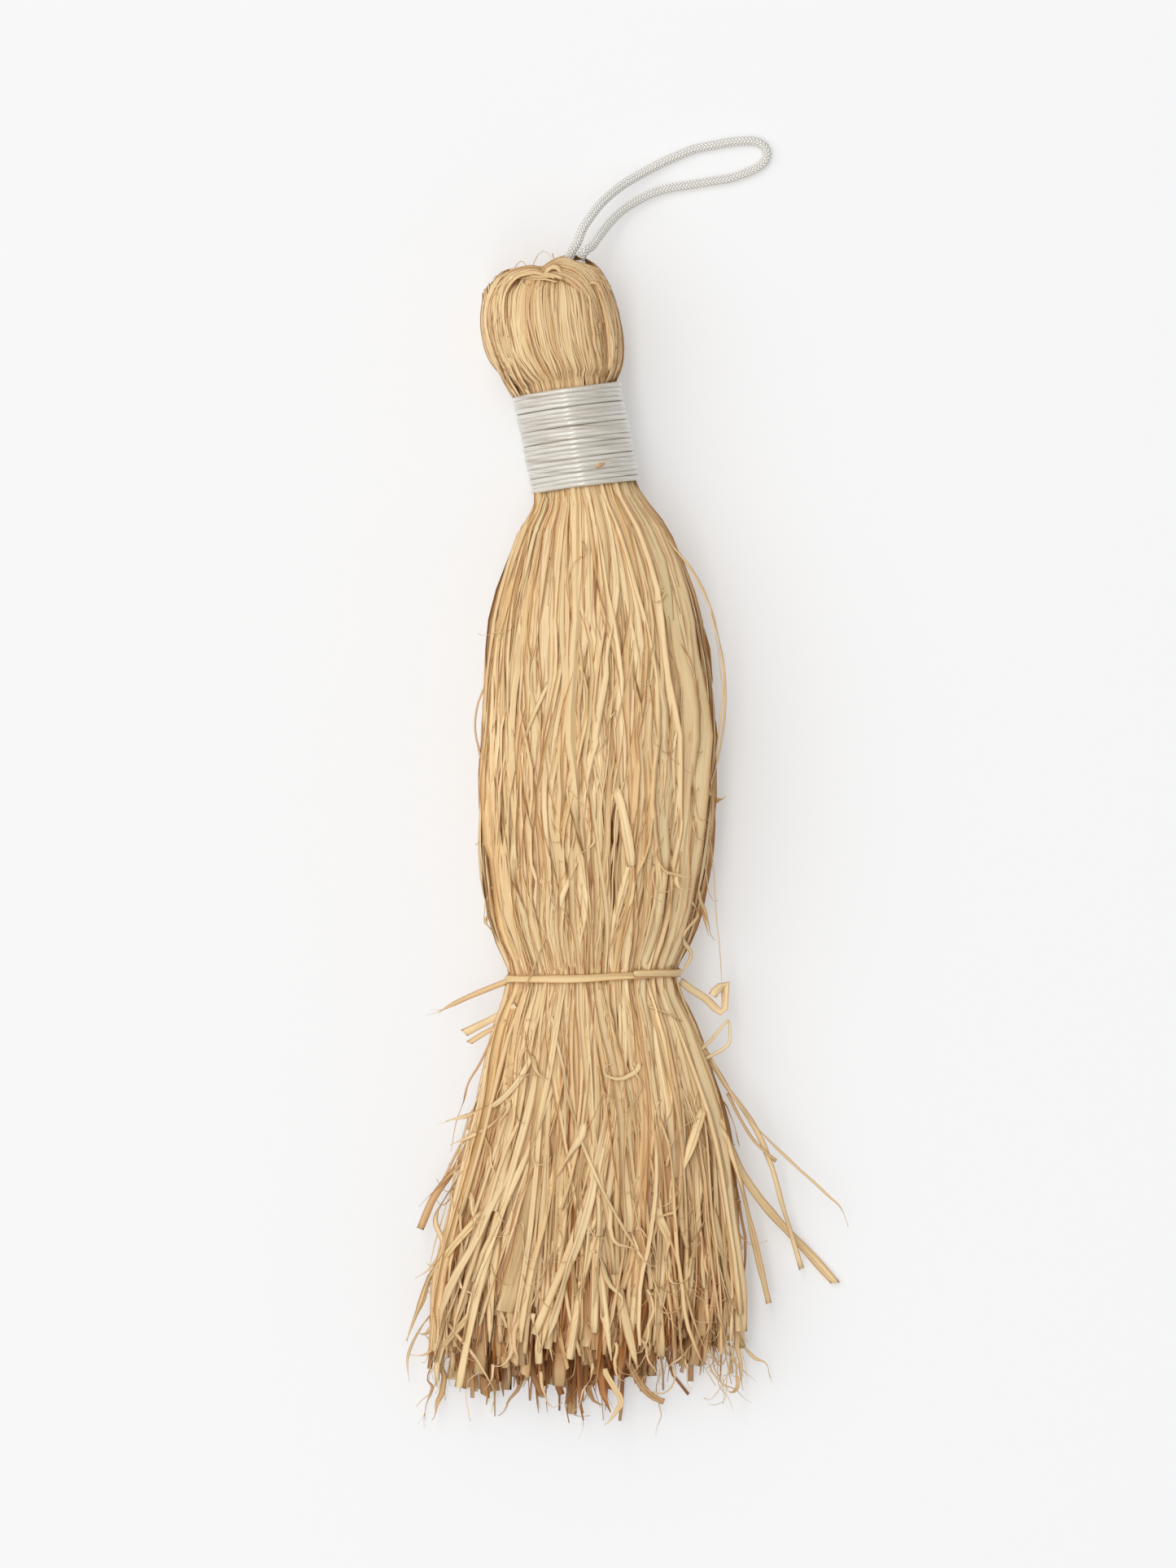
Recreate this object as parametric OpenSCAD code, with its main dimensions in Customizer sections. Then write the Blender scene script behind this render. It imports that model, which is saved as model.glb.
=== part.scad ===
// Hanging tassel of folded raffia: a hank of strands folded over a cord loop, bound with
// satin cord below its head and held by a flat raffia tie above its skirt.
// It lies on its back on a table: Z is up, Y runs along it towards the loop, and the
// origin is on the flat underside of its belly.

/* [Hank] */
// Width of the head
head_w = 42; // [36:0.5:52]
// Length of the head, from the crown to the binding
head_l = 31.5; // [28:0.5:40]
// Diameter of the raffia inside the binding
neck_d = 29; // [26:0.5:34]
// Width of the belly
body_w = 69; // [58:0.5:82]
// Height of the belly above the table
body_h = 47; // [40:0.5:52]
// Length from the binding to the waist tie
body_l = 148; // [125:1:178]
// Width of the waist inside its tie
waist_w = 53; // [46:0.5:60]
// Height of the waist inside its tie
waist_h = 37; // [32:0.5:42]
// Width of the skirt at its cut ends
skirt_w = 98; // [84:1:118]
// Height of the skirt at its cut ends
skirt_h = 26; // [22:0.5:32]
// Length of the skirt's top layer, from the waist tie
skirt_l = 108; // [90:1:130]
// How much longer the skirt's bottom layer is
skirt_step = 26; // [0:1:32]
// How far the head leans to the left of the belly
head_lean = 12.5; // [0:0.5:16]

/* [Strands] */
// Number of locks around the hank
locks = 12; // [8:2:16]
// Gap between two locks, in degrees
lock_gap = 1.6; // [1:0.1:3]
// Size of the core as a share of the hank
core_share = 0.44; // [0.35:0.01:0.5]
// Width of a loose strand
strand_w = 3; // [2:0.25:4]
// Thickness of a loose strand
strand_t = 0.8; // [0.6:0.1:1.2]

/* [Binding] */
// Diameter of the satin cord
binding_cord_d = 1.6; // [1.3:0.05:2]
// Number of turns
binding_turns = 21; // [16:1:24]
// Gap between the raffia and the inside of the satin cord
binding_gap = 0.5; // [0.45:0.05:0.8]

/* [Waist tie] */
// Width of the flat tie
tie_w = 2.2; // [1.6:0.1:3]
// Thickness of the flat tie
tie_t = 0.6; // [0.4:0.05:0.9]
// Gap between the raffia and the tie
tie_gap = 0.15; // [0.1:0.05:0.4]

/* [Loop] */
// Diameter of the braided cord
cord_d = 3.1; // [2.4:0.1:3.1]
// Diameter of the knot under the crown
knot_d = 5.8; // [5:0.1:5.8]

/* [Hidden] */

straw = [0.86, 0.74, 0.54];
straw_back = [0.76, 0.6, 0.4];
satin = [0.9, 0.88, 0.84];
braid = [0.93, 0.92, 0.89];

// The hank's stations, from the crown to the longest cut ends.
belly_to_waist = 60;
waist_y = -belly_to_waist;
neck_low = waist_y + body_l;
binding_l = binding_turns * binding_cord_d;
neck_top = neck_low + binding_l;
crown_y = neck_top + head_l;
skirt_top_y = waist_y - skirt_l;
skirt_low_y = skirt_top_y - skirt_step;
belly_mid = waist_y / 2 + neck_low / 2;

// The head and the neck share one axis, which leans from the belly to the left.
lean_angle = atan2(head_lean - 2.5, binding_l + head_l / 2);
neck_tilt = 7;
head_z = head_w / 2 + 0.5;
flat_depth = 0.8;
skirt_shift = -3;

// One station: [y, x of the middle, half width, half height, tilt in degrees]
function neck_x(y) = -2.5 - tan(lean_angle) * (y - neck_low);
stations = [
    [crown_y, neck_x(crown_y) + 1.5, head_w * 0.39, head_w * 0.39, 0],
    [crown_y - head_l * 0.07, neck_x(crown_y) + 1, head_w * 0.445, head_w * 0.445, 0],
    [crown_y - head_l * 0.2, neck_x(crown_y) + 1, head_w * 0.485, head_w * 0.485, 2],
    [crown_y - head_l * 0.42, neck_x(crown_y) + 1.5, head_w / 2, head_w / 2, 4],
    [crown_y - head_l * 0.65, neck_x(crown_y) + 3, head_w * 0.48, head_w * 0.48, neck_tilt],
    [crown_y - head_l * 0.86, neck_x(neck_top + 4), head_w * 0.41, head_w * 0.41, neck_tilt],
    [neck_top + 0.5, neck_x(neck_top), neck_d / 2, neck_d / 2, neck_tilt],
    [neck_low - 0.5, neck_x(neck_low), neck_d / 2, neck_d / 2, neck_tilt],
    [neck_low - 9, -1, neck_d / 2 + (body_w - neck_d) * 0.13, neck_d / 2 + (body_h - neck_d) * 0.1, 3],
    [neck_low - 24, 0.5, neck_d / 2 + (body_w - neck_d) * 0.29, neck_d / 2 + (body_h - neck_d) * 0.26, 0],
    [neck_low - 44, 1, body_w * 0.46, body_h * 0.47, 0],
    [belly_mid, 1, body_w / 2, body_h / 2, 0],
    [waist_y + 38, 0, body_w * 0.49, body_h * 0.49, 0],
    [waist_y + 16, -0.5, (body_w + waist_w) / 4, (body_h + waist_h) / 4, 0],
    [waist_y + 3, -0.5, waist_w / 2, waist_h / 2, 0],
    [waist_y - 3, -0.5, waist_w / 2, waist_h / 2, 0],
    [waist_y - 18, 0, waist_w * 0.38 + skirt_w * 0.12, waist_h / 2, 0],
    [waist_y - 45, 1, skirt_w * 0.41, waist_h * 0.45, 0],
    [waist_y - 75, -1, skirt_w * 0.47, waist_h * 0.25 + skirt_h * 0.25, 0],
    [waist_y - skirt_l * 0.93, -2.5, skirt_w / 2, skirt_h / 2, 0],
    [skirt_low_y, skirt_shift, skirt_w / 2, skirt_h / 2, 0]
];

function mid_z(s) = s[0] > neck_low ? head_z : max(s[3] - flat_depth, lift_of(s));
// The middle comes down from the neck's height to the belly's between these two stations.
function lift_of(s) = s[0] > neck_low - 30 ? head_z : 0;

// A point of a station's outline at an angle, at a share of its size, no lower than the table.
function rim(s, angle, share) = [
    s[1] + share * s[2] * cos(angle) * cos(s[4]),
    s[0] + share * s[2] * cos(angle) * sin(s[4]),
    max(mid_z(s) + share * s[3] * sin(angle), 0)
];

// A station part of the way between two others.
function between(a, b, t) = a * (1 - t) + b * t;
function station_at(y, i = 0) =
    i >= len(stations) - 2 || y >= stations[i + 1][0]
        ? between(stations[i], stations[i + 1],
                  (stations[i][0] - y) / (stations[i][0] - stations[i + 1][0]))
        : station_at(y, i + 1);

function stations_to(y) = concat([for (s = stations) if (s[0] > y + 4) s], [station_at(y)]);

// One closed skin over rings of points; the rings all have the same number of points.
// The faces of the first few sides are split the other way, so that two locks' sides match.
module skin(rings, turned = 0) {
    n = len(rings[0]);
    last = len(rings) - 1;
    sides = [for (i = [0:last - 1], j = [0:n - 1], k = [0, 1])
        j < turned
            ? (k == 0
                ? [i * n + j, i * n + (j + 1) % n, (i + 1) * n + (j + 1) % n]
                : [i * n + j, (i + 1) * n + (j + 1) % n, (i + 1) * n + j])
            : (k == 0
                ? [i * n + j, i * n + (j + 1) % n, (i + 1) * n + j]
                : [i * n + (j + 1) % n, (i + 1) * n + (j + 1) % n, (i + 1) * n + j])];
    caps = [[for (j = [n - 1:-1:0]) j], [for (j = [0:n - 1]) last * n + j]];
    polyhedron(points = [for (r = rings, p = r) p], faces = concat(sides, caps), convexity = 10);
}

// One lock of strands: a wedge of the hank between its core and its outside, rounded outwards.
lock_steps = 4;
module lock(i) {
    width = 360 / locks;
    middle = 90 - (i - 1) * width;
    low_side = (1 - sin(middle)) / 2;
    tip_y = skirt_top_y - skirt_step * low_side + 2 * sin(i * 137);
    rings = [for (s = stations_to(tip_y)) concat(
        [for (k = [0:lock_steps])
            let (turn = k / lock_steps - 0.5)
            rim(s, middle + turn * (width - lock_gap), 1 - 0.16 * turn * turn)],
        [for (k = [lock_steps:-2:0])
            let (turn = k / lock_steps - 0.5)
            rim(s, middle + turn * (width - lock_gap), core_share + 0.03)]
    )];
    color(low_side > 0.7 ? straw_back : straw) skin(rings, lock_steps + 1);
}

module core_strands() {
    core_sides = 16;
    color(straw_back)
        skin([for (s = stations_to(skirt_top_y + 4)) [for (j = [0:core_sides - 1]) rim(s, -j * 360 / core_sides, core_share)]]);
}

// Frames along a route, for tubes and flat strands.
function unit(v) = v / norm(v);
function heading(route, i) =
    unit(route[min(i + 1, len(route) - 1)] - route[max(i - 1, 0)]);
function side_of(route, i) = unit(cross(heading(route, i), [0, 0, 1]));

module tube(route, d, sides) {
    skin([for (i = [0:len(route) - 1])
        let (u = side_of(route, i), v = cross(u, heading(route, i)))
        [for (k = [0:sides - 1])
            route[i] + d / 2 * (cos(k * 360 / sides) * u + sin(k * 360 / sides) * v)]]);
}

module flat_strand(route, w = strand_w, t = strand_t) {
    skin([for (i = [0:len(route) - 1])
        let (u = side_of(route, i), v = cross(u, heading(route, i)))
        [for (c = [[1, 1], [-1, 1], [-1, -1], [1, -1]]) route[i] + c[0] * w / 2 * u + c[1] * t / 2 * v]]);
}

// The two folds of the crown, in front of and behind the slot that the loop comes out of.
// Each row is a share of the crown's width from its middle, and the fold's height there.
slot_w = knot_d + 1.2;
fold_rows = [
    [-0.97, 1.5], [-0.85, 3.2], [-0.55, 4], [-0.25, 4.6], [0.05, 4.8], [0.4, 4.6], [0.7, 4.2], [0.93, 2.2]
];
fold_profile = [[0, 0], [1, 0], [0.9, 0.5], [0.7, 0.85], [0.45, 1], [0.22, 0.85], [0, 0.45]];
module crown_fold(side) {
    top = stations[0];
    rings = [for (row = fold_rows)
        let (reach = top[2] * sqrt(1 - row[0] * row[0]) + 1.5, span = max(reach - slot_w / 2, 1.2))
        [for (p = fold_profile)
            [top[1] + row[0] * top[2], crown_y + 0.1 + p[1] * row[1],
             head_z + side * (slot_w / 2 + p[0] * span)]]];
    color(straw) skin(side > 0 ? rings : [for (r = rings) [for (j = [len(r) - 1:-1:0]) r[j]]]);
}

// The satin cord, wound as one helix around the tilted neck.
turn_steps = 16;
module neck_binding() {
    reach = neck_d / 2 + binding_gap + binding_cord_d / 2;
    steps = binding_turns * turn_steps - turn_steps;
    route = [for (i = [0:steps])
        let (angle = -i * 360 / turn_steps, y = neck_low + binding_cord_d * (0.5 + i / turn_steps))
        [neck_x(y) + reach * cos(angle) * cos(neck_tilt),
         y + reach * cos(angle) * sin(neck_tilt),
         head_z + reach * sin(angle)]];
    sides = 8;
    color(satin)
        skin([for (i = [0:steps])
            let (out = unit(route[i] - [neck_x(route[i][1]), route[i][1], head_z]),
                 up = unit(cross(heading(route, i), out)))
            [for (k = [0:sides - 1])
                route[i] + binding_cord_d * 0.49
                    * (cos(k * 360 / sides) * out + sin(k * 360 / sides) * up)]]);
}

// A short end of raffia that the winding caught and left outside.
module caught_strand() {
    y = neck_low + binding_l * 0.25;
    top = head_z + neck_d / 2 + binding_gap + binding_cord_d + strand_t / 2 + 0.2;
    color([0.8, 0.6, 0.35])
        flat_strand([[neck_x(y) + 3, y - 0.5, top - 0.2], [neck_x(y) + 5, y, top - 0.3],
                     [neck_x(y) + 7, y + 0.8, top - 0.9]], 1.2, 0.5);
}

// The flat tie around the waist, a band that follows the waist's outline.
tie_sides = 48;
function waist_outline(grow, from = 0, to = 360) = [for (k = [0:tie_sides])
    let (angle = from + (to - from) * k / tie_sides)
    [-0.5 + (waist_w / 2 + grow) * cos(angle),
     max(waist_h / 2 - flat_depth + (waist_h / 2 + grow) * sin(angle), grow - tie_gap)]];
module band(grow, from, to) {
    inner = waist_outline(grow, from, to);
    outer = waist_outline(grow + tie_t, from, to);
    polygon(concat(inner, [for (k = [tie_sides:-1:0]) outer[k]]));
}
module waist_tie() {
    color(straw)
        translate([0, waist_y + tie_w / 2, 0]) rotate([90, 0, 0]) linear_extrude(tie_w) band(tie_gap, -60, 240);
}
module waist_tie_lap() {
    color(straw)
        translate([0, waist_y + tie_w * 0.7, 0]) rotate([90, 0, 0])
            linear_extrude(tie_w) band(tie_gap + tie_t + 0.1, -20, 60);
}

// Loose strands, each along a route chosen by hand. A place on the hank follows its outline.
function on_top(x, y, clear) =
    let (s = station_at(y))
    [x, y, mid_z(s) + s[3] * sqrt(max(0, 1 - pow((x - s[1]) / s[2], 2))) + clear];
function beside(side, y, out, z) = let (s = station_at(y)) [s[1] + side * (s[2] + out), y, z];

module tie_tail_left() {
    y = waist_y - tie_w;
    color(straw)
        flat_strand([beside(-1, y, -1, 17), beside(-1, y - 2, 4, 17.5),
                     beside(-1, y - 5, 9, 17.5), beside(-1, y - 8.5, 13, 17)], 1.5);
}
module tie_tail_right() {
    y = waist_y - tie_w;
    color(straw)
        flat_strand([beside(1, y, -1, 17), beside(1, y - 4, 4, 16.5), beside(1, y - 8, 7, 16),
                     beside(1, y - 8.5, 10, 16), beside(1, y - 4, 12, 16)], 1.8);
}
module crossing_strand() {
    clear = tie_gap + tie_t + strand_t / 2 + 0.8;
    color(straw)
        flat_strand([on_top(-14, waist_y + 13, clear - 1), on_top(-17, waist_y + 6, clear - 0.3),
                     on_top(-19, waist_y, clear), on_top(-21, waist_y - 6, clear - 0.3)], 1.2);
}
module bowed_strand_left() {
    color(straw)
        flat_strand([beside(-1, 35, -1, 20), beside(-1, 26, 2, 20), beside(-1, 18, 3, 19),
                     beside(-1, 11, 2, 19), beside(-1, 3, -1, 20)], 1);
}
module bowed_strand_right() {
    color(straw)
        flat_strand([beside(1, neck_low - 5, -1, 24), beside(1, neck_low - 16, 2, 24),
                     beside(1, neck_low - 27, 4.5, 24), beside(1, neck_low - 37, 5, 23),
                     beside(1, neck_low - 52, 5, 22), beside(1, neck_low - 65, 5, 21),
                     beside(1, neck_low - 76, 3.5, 20), beside(1, neck_low - 90, -1, 20)], 1.5);
}
skirt_edge = waist_y - 34;
module skirt_strand_short() {
    color(straw)
        flat_strand([beside(1, skirt_edge, -1, 13), beside(1, skirt_edge - 13, 3, 11),
                     beside(1, skirt_edge - 24, 5.5, 9), beside(1, skirt_edge - 36, 8, 7),
                     beside(1, skirt_edge - 56, 14, 5)], 2);
}
module skirt_strand_long() {
    color(straw)
        flat_strand([beside(1, skirt_edge, -1, 17), beside(1, skirt_edge - 13, 8, 16),
                     beside(1, skirt_edge - 24, 18, 13), beside(1, skirt_edge - 33, 27, 10),
                     beside(1, skirt_edge - 43, 33, 8)], 1.5);
}
module skirt_strand_wide() {
    color(straw)
        flat_strand([beside(1, skirt_edge - 24, -1, 6), beside(1, skirt_edge - 36, 6, 4.5),
                     beside(1, skirt_edge - 46, 17, 3), beside(1, skirt_edge - 60, 28, 1.5)], 3);
}

// The knot in the crown's slot, and the braided loop that swings and lifts about it.
pivot = [neck_x(crown_y) + 11, crown_y + 6, head_z];
module loop_knot() {
    color(braid) translate(pivot) sphere(d = knot_d, $fn = 48);
}

// The loop's route, from one leg at the knot to the other: how far right of and above the knot
// each point is, and its height as a share of the knot's, from 0 where the cord lies on the table.
loop_route = [
    [-2, 4, 1], [-0.5, 6.5, 0.97], [1, 10.5, 0.9], [3.5, 14.5, 0.77], [6.5, 18.5, 0.6],
    [10, 22, 0.42], [14.5, 25.5, 0.25], [19.5, 28.5, 0.12], [25, 31.5, 0.05], [30.5, 34, 0.02],
    [35.5, 36, 0], [40.5, 37, 0], [45.5, 38, 0], [50.5, 38.5, 0], [54, 38.5, 0],
    [57, 37, 0], [58, 34.5, 0], [57, 32, 0], [54.5, 30, 0], [51, 28.5, 0],
    [46.5, 27, 0], [40.5, 26, 0], [34.5, 25, 0], [28.5, 24, 0.02], [23, 22.5, 0.05],
    [18, 20, 0.12], [13.5, 17, 0.25], [9.5, 13, 0.45], [6.5, 9, 0.68], [4, 5.5, 0.88],
    [2, 4, 1]
];
module hang_loop() {
    rest = cord_d / 2;
    color(braid)
        tube([for (p = loop_route) [pivot[0] + p[0], pivot[1] + p[1], rest + p[2] * (pivot[2] - rest)]],
             cord_d, 8);
}

for (i = [1:locks]) lock(i);
core_strands();
crown_fold(1);  // crown_fold_front
crown_fold(-1);  // crown_fold_back
neck_binding();
caught_strand();
waist_tie();
waist_tie_lap();
tie_tail_left();
tie_tail_right();
crossing_strand();
bowed_strand_left();
bowed_strand_right();
skirt_strand_short();
skirt_strand_long();
skirt_strand_wide();
loop_knot();
hang_loop();
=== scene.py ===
"""A hanging tassel of folded raffia, with a satin-bound neck and a braided loop.

Lengths inside the classes are millimetres in the frame's own axes: X to the right,
Y along the hank towards the head, Z up from the table.  `Weave.to_object` turns
them into metres.
"""

import logging
import math
from dataclasses import dataclass, field
from enum import Enum

import bpy
import numpy as np
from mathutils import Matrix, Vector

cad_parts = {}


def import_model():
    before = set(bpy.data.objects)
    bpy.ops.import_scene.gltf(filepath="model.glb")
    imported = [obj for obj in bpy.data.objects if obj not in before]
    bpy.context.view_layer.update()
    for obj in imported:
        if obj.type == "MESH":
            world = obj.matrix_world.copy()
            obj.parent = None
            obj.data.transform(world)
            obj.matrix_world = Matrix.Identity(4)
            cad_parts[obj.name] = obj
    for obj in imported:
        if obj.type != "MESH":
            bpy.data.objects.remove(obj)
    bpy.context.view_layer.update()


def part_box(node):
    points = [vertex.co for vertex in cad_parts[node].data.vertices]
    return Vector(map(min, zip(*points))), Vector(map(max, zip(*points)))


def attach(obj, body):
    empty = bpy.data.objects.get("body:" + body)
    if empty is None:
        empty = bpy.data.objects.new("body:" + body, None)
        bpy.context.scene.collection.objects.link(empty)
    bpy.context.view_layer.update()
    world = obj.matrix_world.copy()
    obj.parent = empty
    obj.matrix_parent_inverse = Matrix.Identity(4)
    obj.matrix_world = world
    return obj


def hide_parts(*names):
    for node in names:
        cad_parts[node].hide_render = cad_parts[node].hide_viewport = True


LOG = logging.getLogger("tassel")
MM = 0.001
SEED = 7
DARK_AGE = 0.3  # strands browner than this are passed the dark raffia's slot name
LOW_POINT = 0.35  # the lowest that a middle line of the hank's own strands runs
Array = np.ndarray


# ---------------------------------------------------------------- shader maths


class Value:
    """A number socket of a material, with arithmetic written as Python."""

    def __init__(self, paint: "Paint", socket: bpy.types.NodeSocket) -> None:
        """Keep the socket and the paint that owns it."""
        self.paint = paint
        self.socket = socket

    def __add__(self, other: "Value | float") -> "Value":
        """Sum."""
        return self.paint.maths("ADD", self, other)

    def __sub__(self, other: "Value | float") -> "Value":
        """Difference."""
        return self.paint.maths("SUBTRACT", self, other)

    def __rsub__(self, other: float) -> "Value":
        """Difference from a number."""
        return self.paint.maths("SUBTRACT", other, self)

    def __mul__(self, other: "Value | float") -> "Value":
        """Product."""
        return self.paint.maths("MULTIPLY", self, other)

    __radd__ = __add__
    __rmul__ = __mul__

    def __pow__(self, other: float) -> "Value":
        """Power."""
        return self.paint.maths("POWER", self, other)

    def clamp(self, low: float, high: float, new_low: float = 0.0, new_high: float = 1.0) -> "Value":
        """Map a range to another, and hold it there.

        Args:
            low: the value that becomes new_low.
            high: the value that becomes new_high.
            new_low: the lowest result.
            new_high: the highest result.

        Returns:
            The mapped value.
        """
        ins = {"Value": self, "From Min": low, "From Max": high, "To Min": new_low, "To Max": new_high}
        return Value(self.paint, self.paint.node("ShaderNodeMapRange", {"clamp": True}, ins).outputs[0])


class Paint:
    """A material and its nodes, built in code."""

    def __init__(self, name: str) -> None:
        """Start a material that holds one Principled shader.

        Args:
            name: the material's name.
        """
        self.material = bpy.data.materials.new(name)
        self.material.use_nodes = True
        self.tree = self.material.node_tree
        self.tree.nodes.clear()
        self.output = self.tree.nodes.new("ShaderNodeOutputMaterial")

    def node(self, kind: str, settings: dict | None = None, ins: dict | None = None) -> bpy.types.Node:
        """Add a node.

        Args:
            kind: the node's type.
            settings: its own properties, set before its sockets; a ramp's stops are "stops".
            ins: values or links of its sockets, by name or number.

        Returns:
            The node.
        """
        made = self.tree.nodes.new(kind)
        for key, value in (settings or {}).items():
            if key == "stops":
                self._ramp(made.color_ramp, value)
            else:
                setattr(made, key, value)
        for key, value in (ins or {}).items():
            socket = made.inputs[key]
            if isinstance(value, Value):
                self.tree.links.new(value.socket, socket)
            elif isinstance(value, bpy.types.NodeSocket):
                self.tree.links.new(value, socket)
            else:
                socket.default_value = value
        return made

    @staticmethod
    def _ramp(ramp: bpy.types.ColorRamp, stops: list[tuple[float, tuple]]) -> None:
        """Fill a colour ramp.

        Args:
            ramp: the ramp.
            stops: places from 0 to 1, each with its colour.
        """
        while len(ramp.elements) < len(stops):
            ramp.elements.new(0.5)
        for element, (place, colour) in zip(ramp.elements, stops):
            element.position = place
            element.color = (*colour, 1.0)

    def maths(self, operation: str, a: "Value | float", b: "Value | float" = 0.0) -> Value:
        """Join two values with a Math node."""
        return Value(self, self.node("ShaderNodeMath", {"operation": operation}, {0: a, 1: b}).outputs[0])

    def attribute(self, name: str) -> Value:
        """A number that the mesh holds at each point."""
        return Value(self, self.node("ShaderNodeAttribute", {"attribute_name": name}).outputs["Fac"])

    def grain(self, across: float, along: float) -> bpy.types.NodeSocket:
        """The fibre coordinates, stretched.

        Args:
            across: repeats for each millimetre across the strand.
            along: repeats for each millimetre along it.

        Returns:
            A vector socket.
        """
        uv = self.node("ShaderNodeUVMap", {"uv_map": "grain"}).outputs["UV"]
        ins = {0: uv, 1: (across, along, 1.0)}
        return self.node("ShaderNodeVectorMath", {"operation": "MULTIPLY"}, ins).outputs[0]

    def noise(self, vector: bpy.types.NodeSocket, scale: float = 1.0, detail: float = 3.0) -> Value:
        """Fractal noise on given coordinates."""
        ins = {"Vector": vector, "Scale": scale, "Detail": detail, "Roughness": 0.6}
        return Value(self, self.node("ShaderNodeTexNoise", {"noise_dimensions": "2D"}, ins).outputs["Fac"])

    def ramp(self, value: Value, stops: list[tuple[float, tuple]]) -> bpy.types.NodeSocket:
        """A colour that follows a value."""
        return self.node("ShaderNodeValToRGB", {"stops": stops}, {"Fac": value}).outputs["Color"]

    def mix(self, share: "Value | float", a: object, b: object, blend: str = "MIX") -> bpy.types.NodeSocket:
        """Blend two colours.

        Args:
            share: how much of b.
            a: the first colour, a socket or four numbers.
            b: the second colour.
            blend: the blend type.

        Returns:
            The colour socket.
        """
        made = self.node("ShaderNodeMix", {"data_type": "RGBA", "blend_type": blend}, {0: share, 6: a, 7: b})
        return made.outputs[2]

    def bump(self, height: Value, distance: float, strength: float = 1.0) -> bpy.types.NodeSocket:
        """A normal with fine relief of a given depth in metres."""
        ins = {"Height": height, "Distance": distance, "Strength": strength}
        return self.node("ShaderNodeBump", {}, ins).outputs["Normal"]

    def shade(self, **ins: object) -> bpy.types.Material:
        """Finish with a Principled shader.

        Args:
            ins: its sockets, with underscores for spaces.

        Returns:
            The material.
        """
        sockets = {key.replace("_", " "): value for key, value in ins.items()}
        shader = self.node("ShaderNodeBsdfPrincipled", {}, sockets)
        self.tree.links.new(shader.outputs[0], self.output.inputs["Surface"])
        return self.material


def rgba(colour: tuple[float, float, float]) -> tuple[float, float, float, float]:
    """A colour with full alpha."""
    return (*colour, 1.0)


# -------------------------------------------------------------------- finishes


@dataclass(frozen=True)
class RaffiaFinish:
    """Dried raffia leaf: matt straw with fine ribs along the strand, darkened at its edges and with painted
    shade deep in the hank.
    """

    name: str
    pale: tuple[float, float, float] = (0.94, 0.75, 0.44)
    straw: tuple[float, float, float] = (0.88, 0.67, 0.36)
    honey: tuple[float, float, float] = (0.78, 0.52, 0.25)
    green: tuple[float, float, float] = (0.78, 0.65, 0.37)
    brown: tuple[float, float, float] = (0.52, 0.28, 0.11)
    # deep: the dark tone of the fibre ribs, and the colour of the painted shade at strand edges and deep in
    # the hank
    deep: tuple[float, float, float] = (0.52, 0.27, 0.085)
    roughness: float = 0.50

    def make(self) -> bpy.types.Material:
        """Build the material.

        Returns:
            Straw whose tone follows each strand, streaked along its fibres, darkened at its edges (partly
            their own browning, partly painted shade) and with painted shade where it lies deep in the hank.
        """
        p = Paint(self.name)
        tint, age, edge, depth = (p.attribute(key) for key in ("tint", "age", "edge", "depth"))
        streak = p.noise(p.grain(2.2, 0.02), 1.0, 4.0)
        fibre = p.noise(p.grain(7.0, 0.05), 1.0, 2.0)
        patch = p.noise(p.grain(0.3, 0.05), 1.0, 3.0)
        tone = p.ramp(tint * 0.84 + streak * 0.16, [
            (0.08, self.honey), (0.3, self.straw), (0.6, self.pale), (0.8, self.straw), (0.95, self.green)])
        tone = p.mix(patch.clamp(0.52, 0.75, 0.0, 0.4), tone, rgba(self.honey))
        tone = p.mix(streak.clamp(0.6, 0.74, 0.0, 0.55), tone, rgba(self.brown))
        tone = p.mix(age.clamp(0.0, 1.0, 0.0, 0.9), tone, rgba(self.brown))
        tone = p.mix(fibre.clamp(0.4, 0.72, 0.0, 0.34), tone, rgba(self.deep), "MULTIPLY")
        # Edges: partly the thin edges' own browning, partly painted shade standing in for the contact shadow
        # between neighbouring strands.
        tone = p.mix((edge ** 2.1).clamp(0.0, 1.0, 0.0, 0.95), tone, rgba(self.deep), "MULTIPLY")
        # Painted shade: strands under others, in the channels between clumps or in the core are darkened to
        # stand in for occlusion.
        tone = p.mix(depth.clamp(0.08, 0.75, 0.0, 0.97), tone, rgba(self.deep), "MULTIPLY")
        ribs = fibre * 0.5 + streak * 0.8
        return p.shade(
            Base_Color=tone,
            Roughness=streak.clamp(0.3, 0.7, self.roughness - 0.1, self.roughness + 0.14),
            Normal=p.bump(ribs, 0.0001, 0.7),
            Specular_IOR_Level=0.5,
        )


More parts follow.
